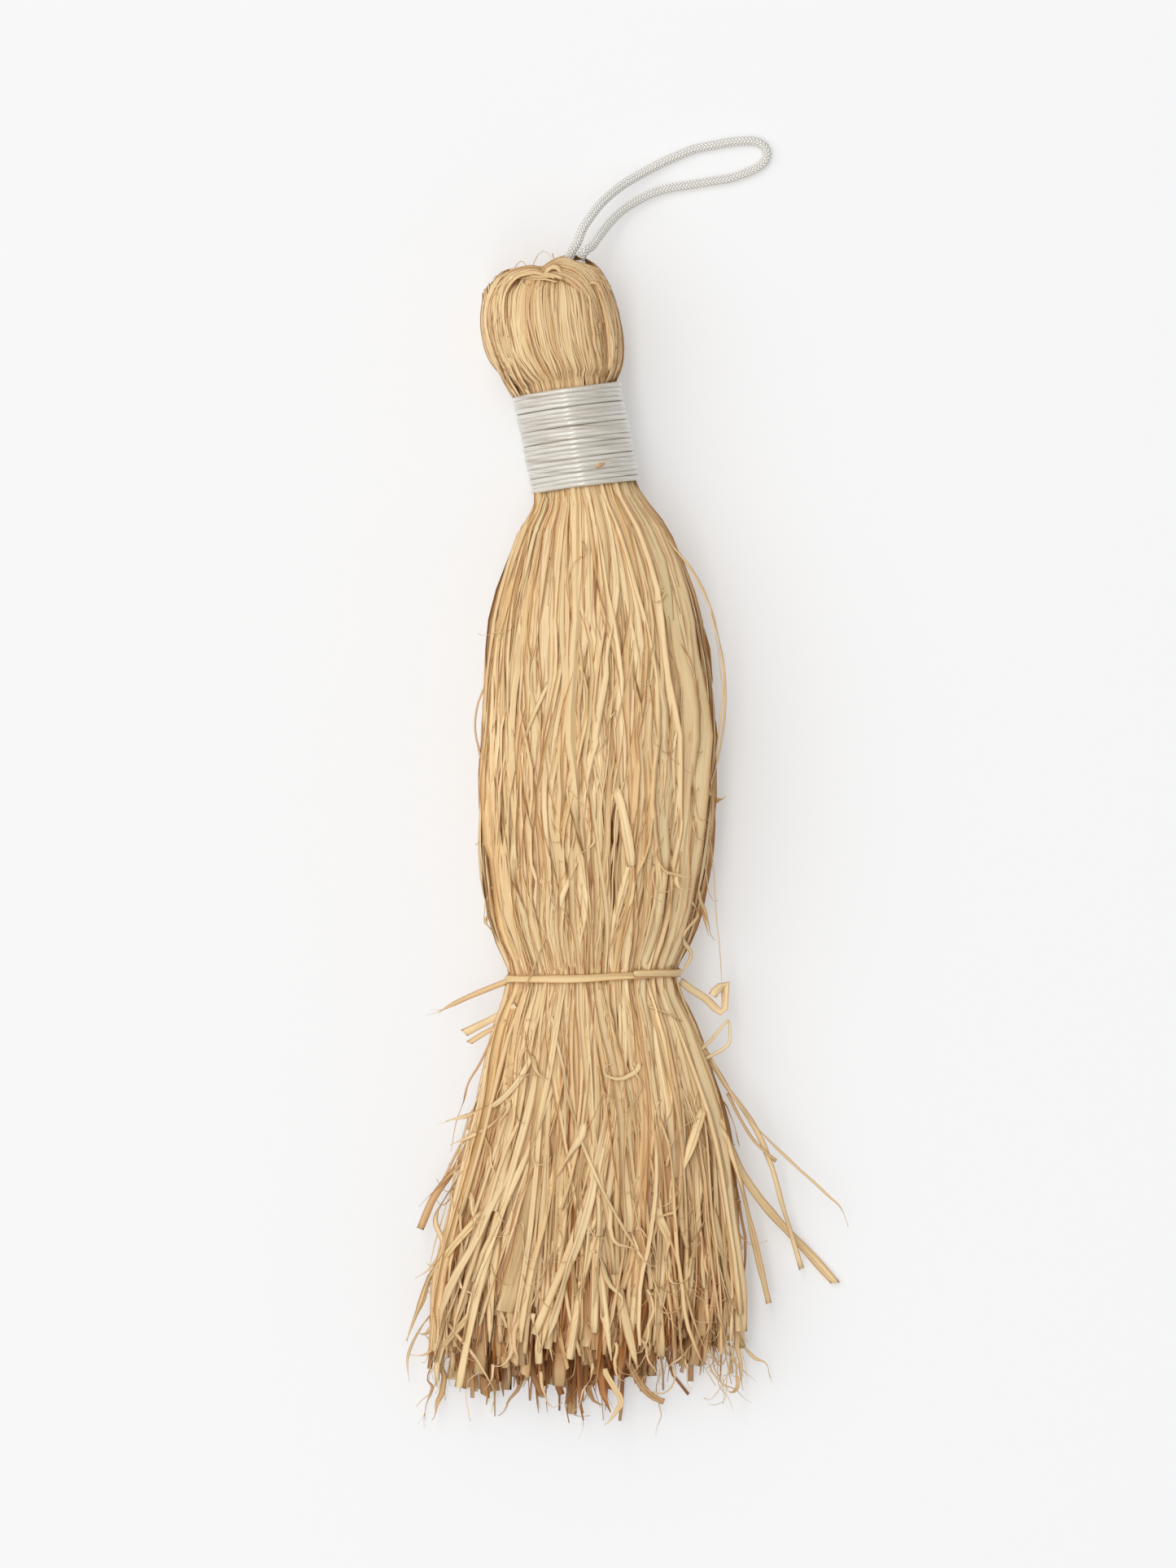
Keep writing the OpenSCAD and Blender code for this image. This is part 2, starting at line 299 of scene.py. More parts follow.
@dataclass(frozen=True)
class SatinFinish:
    """Satin cord of many fine threads, with painted glints along its turns and painted shade where the turns
    meet.
    """

    name: str
    body: tuple[float, float, float] = (0.58, 0.53, 0.45)
    # the lightest tone, painted along the turns to stand in for the satin's highlights
    painted_glint: tuple[float, float, float] = (0.78, 0.74, 0.66)
    # groove: the threads' dark tone, and the colour of the painted shade where neighbouring turns meet
    groove: tuple[float, float, float] = (0.38, 0.32, 0.23)

    def make(self) -> bpy.types.Material:
        """Build the material.

        Returns:
            Silver-white threads laid along the cord, with painted glints and painted shade at the cord's
            sides.
        """
        p = Paint(self.name)
        edge = p.attribute("edge")
        thread = p.noise(p.grain(5.0, 0.04), 1.0, 2.0)
        band = p.noise(p.grain(0.5, 0.012), 1.0, 2.0)
        # Painted glints: where the two noises run high the ramp reaches its lightest tone, standing in for
        # the satin's broken highlights; lower down it is the threads' own tone.
        tone = p.ramp(thread * 0.5 + band * 0.5, [(0.3, self.groove), (0.42, self.body), (0.62, self.painted_glint)])
        # Painted shade: the cord's sides, where neighbouring turns meet, are darkened.
        tone = p.mix((edge ** 5.0).clamp(0.0, 1.0, 0.0, 0.8), tone, rgba(self.groove), "MULTIPLY")
        return p.shade(
            Base_Color=tone,
            Roughness=thread.clamp(0.3, 0.7, 0.2, 0.34),
            Normal=p.bump(thread * 0.4 + band, 0.00026, 1.0),
            Specular_IOR_Level=0.9,
            Coat_Weight=0.9,
            Coat_Roughness=0.14,
            Coat_IOR=1.65,
            Sheen_Weight=0.2,
            Sheen_Roughness=0.35,
        )


@dataclass(frozen=True)
class BraidFinish:
    """The loop's braided yarn, ivory white with a soft shine."""

    name: str
    yarn: tuple[float, float, float] = (0.93, 0.91, 0.87)
    shadow: tuple[float, float, float] = (0.26, 0.23, 0.18)

    def make(self) -> bpy.types.Material:
        """Build the material.

        Returns:
            Pale yarn with painted shade in the gaps between its stitches.
        """
        p = Paint(self.name)
        depth = p.attribute("depth")
        thread = p.noise(p.grain(7.0, 0.4), 1.0, 2.0)
        # Painted shade: the gaps between stitches take the shadow tone.
        tone = p.mix(depth.clamp(0.1, 0.62, 0.0, 1.0), rgba(self.shadow), rgba(self.yarn))
        tone = p.mix(thread.clamp(0.35, 0.7, 0.0, 0.2), tone, rgba(self.shadow))
        return p.shade(
            Base_Color=tone,
            Roughness=thread.clamp(0.3, 0.7, 0.28, 0.42),
            Normal=p.bump(thread, 0.00006, 0.6),
            Specular_IOR_Level=0.65,
            Sheen_Weight=0.2,
            Sheen_Roughness=0.4,
        )


@dataclass(frozen=True)
class TableFinish:
    """The plain pale table."""

    tone: tuple[float, float, float] = (0.6, 0.6, 0.602)
    glow: float = 0.31

    def make(self) -> bpy.types.Material:
        """Build the material."""
        p = Paint("table")
        return p.shade(Base_Color=rgba(self.tone), Roughness=0.9, Specular_IOR_Level=0.05,
                       Emission_Color=rgba((1.0, 1.0, 1.0)), Emission_Strength=self.glow)


# --------------------------------------------------------------------- meshes


def unit(v: Array) -> Array:
    """Rows of vectors, each made one long."""
    return v / np.maximum(np.linalg.norm(v, axis=-1, keepdims=True), 1e-9)


def smooth_route(points: Array, steps: int) -> Array:
    """A smooth curve through points.

    Args:
        points: n by k points.
        steps: how many points the result has.

    Returns:
        The curve's points, spread evenly over the given points.
    """
    points = np.asarray(points, float)
    padded = np.vstack([2 * points[0] - points[1], points, 2 * points[-1] - points[-2]])
    t = np.linspace(0, len(points) - 1 - 1e-6, steps)
    i = t.astype(int)
    f = (t - i)[:, None]
    a, b, c, d = padded[i], padded[i + 1], padded[i + 2], padded[i + 3]
    return 0.5 * (2 * b + (c - a) * f + (2 * a - 5 * b + 4 * c - d) * f**2 + (3 * b - 3 * c + d - a) * f**3)


def travelled(route: Array) -> Array:
    """How far along a route each of its points is."""
    return np.concatenate([[0], np.cumsum(np.linalg.norm(np.diff(route, axis=0), axis=1))])


def wander(rng: np.random.Generator, at: Array, wavelength: float) -> Array:
    """A smooth random wave of about unit height.

    Args:
        rng: the source of chance.
        at: the places along the piece.
        wavelength: the length of its longest wave.

    Returns:
        The wave's height at each place.
    """
    total = np.zeros_like(at)
    for k, share in ((1.0, 0.6), (2.1, 0.3), (4.3, 0.12)):
        total += share * np.sin(at * (2 * math.pi * k / wavelength) + rng.uniform(0, 2 * math.pi))
    return total


def kinks(rng: np.random.Generator, at: Array, spacing: float) -> Array:
    """A random bent line of about unit height, straight between its kinks.

    Args:
        rng: the source of chance.
        at: the places along the piece.
        spacing: how far apart the kinks are.

    Returns:
        The line's height at each place.
    """
    low, high = at.min(), at.max()
    count = max(3, int((high - low) / spacing) + 2)
    knots = np.sort(np.concatenate([[low, high], rng.uniform(low, high, count - 2)]))
    return np.interp(at, knots, rng.normal(0, 1, count))


class TipStyle(Enum):
    """How a strand ends."""

    CUT = "cut straight across"
    SLANT = "cut at a slant"
    TORN = "torn to a point"
    FRAYED = "split into fine threads"


@dataclass
class Strand:
    """One raffia leaf strand, before it is made into a mesh."""

    route: Array
    out: Array
    width: Array | float
    tint: float = 0.5
    age: Array | float = 0.0
    # depth: how much painted shade the strand gets for lying under others
    depth: Array | float = 0.0
    roll: Array | float = 0.0
    tip: TipStyle = TipStyle.CUT
    thick: float = 0.22
    pleat: float = 0.16


class Weave:
    """Collects strands and tubes, and makes one mesh of them.

    Attributes:
        table_gap: how far every strand stays off the table.
        flat_below: a strand nearer to the table than this lies flatter.
        back_grain: how far the fibre pattern of a strand's back is moved from its front's.
    """

    table_gap = 0.06
    flat_below = 4.0
    back_grain = 9.0

    def __init__(self) -> None:
        """Start with nothing."""
        self.points: list[Array] = []
        self.faces: list[Array] = []
        self.uvs: list[Array] = []
        self.numbers: dict[str, list[Array]] = {"tint": [], "age": [], "depth": [], "edge": []}
        self.creased: list[Array] = []
        self.count = 0

    def add_rings(self, rings: Array, uv: Array, crease: bool, **numbers: Array | float) -> None:
        """Add a closed skin over rings of points.

        Args:
            rings: n rings by m points by 3.
            uv: n by m by 2 fibre coordinates in millimetres.
            crease: whether the edges along the piece are sharp.
            numbers: tint, age, depth and edge, each one number, one for each ring, or n by m.
        """
        n, m = rings.shape[:2]
        i, j = np.meshgrid(np.arange(n - 1), np.arange(m), indexing="ij")
        k = (j + 1) % m
        quads = np.stack([i * m + j, i * m + k, (i + 1) * m + k, (i + 1) * m + j], -1).reshape(-1, 4)
        self.points.append(rings.reshape(-1, 3))
        self.faces.append(quads + self.count)
        for cap in (np.arange(m)[::-1], np.arange(m) + (n - 1) * m):
            fan = np.stack([np.full(m - 2, cap[0]), cap[1:-1], cap[2:], cap[2:]], -1)
            self.faces.append(fan + self.count)
        self.uvs.append(uv.reshape(-1, 2))
        for key, values in self.numbers.items():
            number = np.asarray(numbers.get(key, 0.0), float)
            number = number[:, None] if number.ndim == 1 else number
            values.append(np.broadcast_to(number, (n, m)).reshape(-1))
        if crease:
            self.creased.append(np.stack([i * m + j, (i + 1) * m + j], -1).reshape(-1, 2) + self.count)
        self.count += n * m

    def add_strand(self, rng: np.random.Generator, strand: Strand) -> None:
        """Add a pleated leaf strand.

        Args:
            rng: the source of chance.
            strand: the strand to add.
        """
        route, n = strand.route, len(strand.route)
        ahead = unit(np.gradient(route, axis=0))
        side = unit(np.cross(ahead, strand.out))
        face = np.cross(side, ahead)
        low = np.clip(route[:, 2] / self.flat_below, 0.2, 1.0)
        roll = (np.broadcast_to(np.asarray(strand.roll, float), n) * low)[:, None]
        side, face = side * np.cos(roll) + face * np.sin(roll), face * np.cos(roll) - side * np.sin(roll)
        width = np.array(np.broadcast_to(np.asarray(strand.width, float), n))
        length = travelled(route)
        if strand.tip in (TipStyle.TORN, TipStyle.FRAYED):
            width = width * np.clip((length[-1] - length) / rng.uniform(6, 16), 0.15, 1)
        half = width[:, None] / 2
        broad = float(width.max())
        pleats = 3 if broad < 1.0 else 4 if broad < 2.4 else 5
        places = np.linspace(-1, 1, pleats)
        places[1:-1] += rng.uniform(-0.6, 0.6, pleats - 2) / pleats
        heights = rng.normal(0, strand.pleat, pleats)
        heights -= heights.mean()
        slow = 1 + 0.5 * wander(rng, length, 70.0)
        slant = np.zeros(n)
        if strand.tip is not TipStyle.CUT:
            slant[-1] = rng.uniform(-0.8, 0.8)
        middle = [route + side * half * place + face * half * height * slow[:, None]
                  + ahead * (slant * place)[:, None] * half for place, height in zip(places, heights)]
        body = face * strand.thick / 2
        upper = [point + body for point in middle[1:-1]]
        lower = [point - body for point in middle[-2:0:-1]]
        rings = np.stack([middle[0], *upper, middle[-1], *lower], 1)
        rings[..., 2] = np.maximum(rings[..., 2], self.table_gap)
        start = rng.uniform(0, 400)
        across = np.concatenate([places, places[-2:0:-1] + self.back_grain])[None, :] * half
        uv = np.stack([across + start, np.broadcast_to(length[:, None], across.shape) + start], -1)
        # edge is 1 at the strand's two sides, which the raffia finish darkens: partly their own browning,
        # partly painted shade between strands.
        edge = np.zeros(rings.shape[1])
        edge[[0, pleats - 1]] = 1.0
        self.add_rings(rings, uv, True, tint=strand.tint, age=strand.age, depth=strand.depth,
                       edge=np.broadcast_to(edge, rings.shape[:2]))
        if strand.tip is TipStyle.FRAYED:
            self._fray(rng, strand, ahead[-1], side[-1])

    def _fray(self, rng: np.random.Generator, strand: Strand, ahead: Array, side: Array) -> None:
        """Add the fine threads at a strand's split end.

        Args:
            rng: the source of chance.
            strand: the strand that is split.
            ahead: the strand's heading at its end.
            side: the direction across it.
        """
        last = float(np.broadcast_to(np.asarray(strand.age, float), len(strand.route))[-1])
        for _ in range(rng.integers(2, 4)):
            steps = np.linspace(0, rng.uniform(2, 6), 6)[:, None]
            turn = rng.normal(0, 0.3)
            curl = rng.normal(0, 0.04)
            aside = steps * math.sin(turn) + curl * steps**2
            route = strand.route[-2] + ahead * steps * math.cos(turn) + side * aside
            route[:, 2] = np.maximum(route[:, 2], 0.3)
            out = np.repeat(strand.out[-1:], 6, axis=0)
            self.add_strand(rng, Strand(route, out, width=rng.uniform(0.25, 0.5), tint=strand.tint, age=last,
                                        tip=TipStyle.TORN, thick=0.15))

    def to_object(self, name: str, material: bpy.types.Material) -> bpy.types.Object:
        """Make the mesh object, in metres.

        Args:
            name: the piece's name.
            material: its finish.

        Returns:
            The object, linked to the scene.
        """
        mesh = bpy.data.meshes.new(name)
        points = np.vstack(self.points) * MM
        quads = np.vstack(self.faces)
        loops = np.where(quads[:, 2] == quads[:, 3], 3, 4)
        flat = quads[np.arange(4)[None, :] < loops[:, None]]
        mesh.vertices.add(len(points))
        mesh.vertices.foreach_set("co", points.astype(np.float32).ravel())
        mesh.loops.add(len(flat))
        mesh.loops.foreach_set("vertex_index", flat.astype(np.int32))
        mesh.polygons.add(len(quads))
        mesh.polygons.foreach_set("loop_start", np.concatenate([[0], np.cumsum(loops)[:-1]]).astype(np.int32))
        mesh.polygons.foreach_set("loop_total", loops.astype(np.int32))
        mesh.update(calc_edges=True)
        layer = mesh.uv_layers.new(name="grain")
        layer.data.foreach_set("uv", np.vstack(self.uvs)[flat].astype(np.float32).ravel())
        for key, values in self.numbers.items():
            mesh.attributes.new(key, "FLOAT", "POINT").data.foreach_set(
                "value", np.concatenate(values).astype(np.float32))
        mesh.polygons.foreach_set("use_smooth", np.ones(len(quads), bool))
        if self.creased:
            self._sharpen(mesh)
        mesh.materials.append(material)
        obj = bpy.data.objects.new(name, mesh)
        bpy.context.scene.collection.objects.link(obj)
        return obj

    def _sharpen(self, mesh: bpy.types.Mesh) -> None:
        """Mark the edges that run along strands as sharp.

        Args:
            mesh: the mesh that holds all the strands.
        """
        ends = np.zeros(len(mesh.edges) * 2, np.int32)
        mesh.edges.foreach_get("vertices", ends)
        ends = np.sort(ends.reshape(-1, 2), axis=1).astype(np.int64)
        wanted = np.sort(np.vstack(self.creased), axis=1).astype(np.int64)
        size = self.count + 1
        sharp = np.isin(ends[:, 0] * size + ends[:, 1], wanted[:, 0] * size + wanted[:, 1])
        mesh.attributes.new("sharp_edge", "BOOLEAN", "EDGE").data.foreach_set("value", sharp)


# ------------------------------------------------------------------ the hank


@dataclass
class HankForm:
    """The hank's outline along its length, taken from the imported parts.

    Each station is y, the middle's x, half the width, half the height, the middle's z
    and the tilt in degrees.
    """

    crown_y: float
    neck_top: float
    neck_low: float
    waist_y: float
    tip_y: float
    head_z: float
    belly_high: float
    waist_a: float
    waist_b: float
    head_r: float = 21.0
    neck_r: float = 14.5
    body_a: float = 34.5
    skirt_a: float = 47.0
    skirt_b: float = 13.0
    lean: float = 0.2028
    tilt: float = 7.0
    stations: Array = field(init=False)

    @classmethod
    def from_frame(cls) -> "HankForm":
        """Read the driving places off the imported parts.

        Returns:
            The form that the strands are laid on.
        """

        def span(node: str) -> tuple[Array, Array]:
            """A part's box in millimetres."""
            low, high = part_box(node)
            return np.array(low) / MM, np.array(high) / MM

        binding, tie, knot = span("neck_binding"), span("waist_tie"), span("loop_knot")
        locks = [span(f"raffia_lock_{i:02d}") for i in range(1, 13)]
        high = np.max([b[1] for b in locks], axis=0)
        slope = 3.2
        return cls(
            crown_y=high[1],
            neck_top=binding[1][1] - slope,
            neck_low=binding[0][1] + slope,
            waist_y=(tie[0][1] + tie[1][1]) / 2,
            tip_y=min(b[0][1] for b in locks),
            head_z=(knot[0][2] + knot[1][2]) / 2,
            belly_high=high[2],
            waist_a=(tie[1][0] - tie[0][0]) / 2 - 0.8,
            waist_b=tie[1][2] / 2,
        )

    def neck_x(self, y: Array | float) -> Array | float:
        """The leaning axis of the neck and the head."""
        return -2.5 - self.lean * (y - self.neck_low)

    def __post_init__(self) -> None:
        """Lay out the stations from the crown to the longest tips."""
        c, n, w, r = self.crown_y, self.neck_low, self.waist_y, self.neck_r
        head = c - self.neck_top
        belly_b = self.belly_high / 2 + 0.4
        grow_a, grow_b = self.body_a - r, belly_b - r
        hr, hz, nx = self.head_r, self.head_z, self.neck_x
        half_way = (w + n) / 2
        rows = [
            (c, nx(c) + 1.5, hr * 0.78, hr * 0.78, hz, 0),
            (c - head * 0.07, nx(c) + 1, hr * 0.89, hr * 0.89, hz, 0),
            (c - head * 0.2, nx(c) + 1, hr * 0.97, hr * 0.97, hz, 2),
            (c - head * 0.42, nx(c) + 1.5, hr, hr, hz, 4),
            (c - head * 0.65, nx(c) + 3, hr * 0.96, hr * 0.96, hz, self.tilt),
            (c - head * 0.86, nx(self.neck_top + 4), hr * 0.82, hr * 0.82, hz, self.tilt),
            (self.neck_top + 0.5, nx(self.neck_top), r, r, hz, self.tilt),
            (n - 0.5, nx(n), r, r, hz, self.tilt),
            (n - 9, -1, r + grow_a * 0.27, r + grow_b * 0.25, hz, 3),
            (n - 24, 0.5, r + grow_a * 0.6, r + grow_b * 0.55, hz, 0),
            (n - 44, 1, r + grow_a * 0.86, r + grow_b * 0.85, hz + 0.6, 0),
            (half_way, 1, self.body_a, belly_b, belly_b, 0),
            (w + 38, 0, self.body_a * 0.98, belly_b * 0.97, belly_b * 0.97, 0),
            (w + 16, -0.5, (self.body_a + self.waist_a) / 2, (belly_b + self.waist_b) / 2, 20.5, 0),
            (w + 3, -0.5, self.waist_a, self.waist_b, self.waist_b, 0),
            (w - 3, -0.5, self.waist_a, self.waist_b, self.waist_b, 0),
            (w - 18, 0, self.waist_a * 0.76 + self.skirt_a * 0.24, self.waist_b, self.waist_b, 0),
            (w - 45, 1, self.skirt_a * 0.82, self.waist_b * 0.92, self.waist_b * 0.92, 0),
            (w - 75, -1, self.skirt_a * 0.94, (self.waist_b + self.skirt_b) / 2, self.waist_b * 0.8, 0),
            (w - 100, -2.5, self.skirt_a, self.skirt_b, self.skirt_b, 0),
            (self.tip_y - 10, -4, self.skirt_a * 0.97, self.skirt_b * 0.9, self.skirt_b * 0.9, 0),
        ]
        fine = smooth_route(np.array(rows, float), 400)
        self.stations = fine[np.argsort(fine[:, 0])]

    def at(self, y: Array) -> Array:
        """The station values at each y: x, half width, half height, z, tilt."""
        table = self.stations
        return np.stack([np.interp(y, table[:, 0], table[:, k]) for k in range(1, 6)], -1)

    def rim(self, y: Array, angle: Array, share: Array | float = 1.0) -> tuple[Array, Array]:
        """Points of the hank and the directions out of it.

        Args:
            y: places along the hank.
            angle: radians around it, from +X towards +Z.
            share: how far out, 1 at the surface.

        Returns:
            The points and the outward directions.
        """
        s = self.at(np.asarray(y, float))
        tilt = np.radians(s[..., 4])
        across = share * s[..., 1] * np.cos(angle)
        up = share * s[..., 2] * np.sin(angle)
        points = np.stack([s[..., 0] + across * np.cos(tilt), y + across * np.sin(tilt), s[..., 3] + up], -1)
        slope_x, slope_z = np.cos(angle) / s[..., 1], np.sin(angle) / s[..., 2]
        out = unit(np.stack([slope_x, np.zeros_like(across), slope_z], -1))
        points[..., 2] = np.maximum(points[..., 2], LOW_POINT)
        return points, out

    def belly_fade(self, y: Array) -> Array:
        """0 at the neck, rising to 1 over the belly's upper end."""
        return np.clip((self.neck_low - y) / 60, 0, 1)

    def skirt_fade(self, y: Array) -> Array:
        """0 above the waist, 1 near the cut ends, and a little more past them."""
        return np.clip((self.waist_y - y) / 110, 0, 1.3)

    def upper(self, x: Array, y: Array) -> Array:
        """The height of the upper surface, falling to the table beside the hank.

        Args:
            x: places across.
            y: places along.

        Returns:
            The height over each place.
        """
        s = self.at(np.asarray(y, float))
        reach = (x - s[..., 0]) / s[..., 1]
        over = np.maximum(np.abs(reach) - 1, 0) * s[..., 1]
        rise = s[..., 2] * np.sqrt(np.clip(1 - reach**2, 0, 1))
        return np.maximum(s[..., 3] + rise - over * 0.6, 1.0)


@dataclass
class Clump:
    """A lock of neighbouring strands that lean and wave together."""

    angle: float
    lean: float
    sway: Array
    proud: float


@dataclass
class Belly:
    """The long strands, from inside the binding to the cut ends of the skirt."""

    form: HankForm
    strands: int = 1120
    deep_strands: int = 430
    skirt_strands: int = 1120
    clumps: int = 48
    locks: int = 12
    step: float = 5.0
    skirt_step: float = 5.5
    strays: float = 0.34
    skirt_strays: float = 0.26
    widths: tuple[float, ...] = (0.6, 1.1, 1.8, 2.7, 3.9)
    width_odds: tuple[float, ...] = (0.15, 0.25, 0.28, 0.21, 0.11)
    skirt_widths: tuple[float, ...] = (0.5, 0.9, 1.4, 2.0, 2.8)
    skirt_width_odds: tuple[float, ...] = (0.18, 0.26, 0.27, 0.19, 0.1)
    tips: tuple[TipStyle, ...] = (TipStyle.CUT, TipStyle.SLANT, TipStyle.TORN, TipStyle.FRAYED)
    tip_odds: tuple[float, ...] = (0.35, 0.25, 0.2, 0.2)
    skirt_tip_odds: tuple[float, ...] = (0.3, 0.2, 0.2, 0.3)
    groups: list[Clump] = field(default_factory=list)

    def gather(self, rng: np.random.Generator) -> None:
        """Choose how each clump leans and waves.

        Args:
            rng: the source of chance.
        """
        for i in range(self.clumps):
            angle = 2 * math.pi * (i + rng.uniform(-0.3, 0.3)) / self.clumps
            self.groups.append(Clump(angle, lean=rng.normal(0, 0.09), sway=rng.uniform(0, 2 * math.pi, 3),
                                     proud=rng.normal(0, 0.015)))

    def build(self, rng: np.random.Generator, weaves: list[Weave]) -> None:
        """Fill the locks with strands.

        Args:
            rng: the source of chance.
            weaves: one for each lock, in the frame's order.
        """
        self.gather(rng)
        for i in range(self.strands):
            angle = (2 * math.pi * (i + rng.uniform(-0.5, 0.5)) / self.strands * 7) % (2 * math.pi)
            self._long(rng, self._weave(weaves, angle), angle, 1.0 - 0.2 * rng.uniform() ** 1.3)
        for i in range(self.skirt_strands):
            angle = rng.uniform(0, 2 * math.pi)
            self._skirt(rng, self._weave(weaves, angle), angle, math.sqrt(rng.uniform(0.1, 1.0)))

    def build_core(self, rng: np.random.Generator, weave: Weave) -> None:
        """Fill the inside of the hank with wider strands, darkened with painted shade."""
        for _ in range(self.deep_strands):
            self._long(rng, weave, rng.uniform(0, 2 * math.pi), rng.uniform(0.45, 0.8), deep=True)

    def _weave(self, weaves: list[Weave], angle: float) -> Weave:
        """The lock that an angle belongs to."""
        turn = 2 * math.pi / self.locks
        return weaves[int(round((math.pi / 2 - angle) / turn)) % self.locks]

    def _tip(self, rng: np.random.Generator, angle: float, share: float) -> float:
        """Where a strand ends: longer underneath, shorter at the sides.

        Args:
            rng: the source of chance.
            angle: the strand's place around the hank.
            share: how far out it lies, 1 at the surface.

        Returns:
            The y of its tip.
        """
        form = self.form
        under = (1 - math.sin(angle) * share) / 2
        top_tip, low_tip = form.waist_y - 111, form.tip_y + 14
        aside = math.cos(angle) * share
        sides = 19 * max(0.0, aside) ** 2 + 8 * max(0.0, -aside) ** 3
        longer = rng.uniform(2, 12) if rng.uniform() < 0.07 else 0.0
        return top_tip + (low_tip - top_tip) * under**0.7 + sides + rng.normal(0, 5.5) - longer

    def _pull(self, angle: float, y: Array) -> tuple[Array, Clump]:
        """How a strand's clump moves it.

        Args:
            angle: the strand's place around the hank.
            y: places along it.

        Returns:
            The change of its angle at each place, and its clump.
        """
        form = self.form
        group = min(self.groups, key=lambda g: abs(math.remainder(g.angle - angle, 2 * math.pi)))
        belly, skirt = form.belly_fade(y), form.skirt_fade(y)
        waist = 1 - np.exp(-((y - form.waist_y) / 22) ** 2)
        near = math.remainder(group.angle - angle, 2 * math.pi)
        phase = group.sway
        sway = 0.6 * np.sin(y * 0.034 + phase[0]) + 0.35 * np.sin(y * 0.071 + phase[1])
        close = 0.22 + 0.25 * np.sin(y * 0.05 + phase[2])
        return belly * waist * (0.05 * sway + near * close) + skirt * (group.lean + near * 0.78), group

    def _channel(self, group: Clump, angle: float) -> float:
        """How far a strand lies in the gap between two clumps, 0 to 1."""
        apart = abs(math.remainder(group.angle - angle, 2 * math.pi)) * self.clumps / math.pi
        return min(1.0, max(0.0, (apart - 0.4) / 0.3))

    def _long(self, rng: np.random.Generator, weave: Weave, angle: float, share: float,
              deep: bool = False) -> None:
        """Lay one strand from the neck to the skirt's end.

        Args:
            rng: the source of chance.
            weave: takes the strand.
            angle: its place around the hank.
            share: how far out it lies, 1 at the surface.
            deep: whether it belongs to the core.
        """
        form = self.form
        tip = self._tip(rng, angle, share)
        if deep or rng.uniform() < 0.2:
            tip += rng.uniform(4, 38) if deep else rng.uniform(5, 60)
        start = form.neck_low + 4
        y = np.linspace(start, tip, int((start - tip) / (self.step * (1.7 if deep else 1.0))))
        belly = form.belly_fade(y) * np.clip((y - form.waist_y) / 30, 0, 1)
        skirt = form.skirt_fade(y)
        pull, group = self._pull(angle, y)
        stray = rng.uniform() < self.strays
        drift = 0.075 * wander(rng, y, rng.uniform(60, 150)) + 0.024 * kinks(rng, y, 24)
        angles = angle + pull + belly * drift
        angles = angles + skirt * rng.normal(0, 0.05 + 0.2 * stray)
        if stray:
            angles = angles + rng.normal(0, 0.27) * np.clip((form.neck_low - y) / 140, 0, 1)
            share = rng.uniform(0.985, 1.03)
        shares = share + group.proud * belly + belly * 0.02 * wander(rng, y, rng.uniform(60, 150))
        shares = shares - 0.06 * np.exp(-(((y - form.waist_y) / 9) ** 2))
        channel = self._channel(group, angle) * (1 - stray)
        shares = shares + skirt * (rng.uniform(-0.14, 0.06) - 0.18 * channel)
        route, out = form.rim(y, angles, shares)
        shake = 0.16 * kinks(rng, y, 14) * (0.4 + skirt)
        route[:, 0] += shake + skirt**1.6 * rng.normal(0, 1.8 + 4.5 * stray)
        wide = rng.choice(self.widths, p=self.width_odds)
        wide = wide * 1.5 if deep else wide
        taper = 1 - 0.35 * np.clip((y - form.neck_low + 70) / 70, 0, 1)
        taper = taper * (1 - 0.45 * np.exp(-((y - form.waist_y) / 16) ** 2))
        taper = taper * (1 + 0.16 * wander(rng, y, 60))
        loose = 0.35 + 0.65 * np.maximum(belly, skirt)
        twist = rng.normal(0, 0.32) + 0.4 * wander(rng, y, rng.uniform(60, 150)) * loose
        if rng.uniform() < 0.16:
            middle = rng.uniform(form.waist_y - 60, form.neck_low - 20)
            twist = twist + math.pi / (1 + np.exp(np.clip((y - middle) / 4, -30, 30)))
        under = max(0.0, -math.sin(angle))
        age = np.clip(rng.exponential(0.07) + rng.uniform(0, 0.22) * under * skirt + 0.05 * skirt**3, 0, 1)
        # Painted shade: depth darkens strands below the surface and, in the skirt, those in the channels
        # between clumps.
        depth = np.clip((0.99 - shares) / 0.1, 0, 1) ** 0.7 * np.clip(0.3 + (y - tip) / 22, 0, 1)
        depth = depth * (1 - np.exp(-(((y - form.waist_y) / 14) ** 2)))
        depth = np.maximum(depth, 0.9 * channel * np.clip(2.2 * skirt, 0, 1))
        depth = depth * 0.8 if deep else depth
        style = TipStyle.CUT if deep else self.tips[rng.choice(len(self.tips), p=self.tip_odds)]
        self._lay(rng, weave, Strand(route, out, width=wide * taper, tint=rng.uniform(), age=age, depth=depth,
                                     roll=twist, tip=style))

    def _lay(self, rng: np.random.Generator, weave: Weave, strand: Strand) -> None:
        """Add a strand, folded more sharply now and then, and kept from straying too far aside.

        Args:
            rng: the source of chance.
            weave: takes the strand.
            strand: the strand.
        """
        strand.pleat = 0.38 if rng.uniform() < 0.18 else rng.uniform(0.04, 0.18)
        x = strand.route[:, 0]
        for far, limit in ((x.max(), rng.uniform(37, 48)), (-x.min(), rng.uniform(40, 51))):
            if far > limit:
                strand.route[:, 0] = x[0] + (x - x[0]) * (limit - abs(x[0])) / (far - abs(x[0]))
        weave.add_strand(rng, strand)

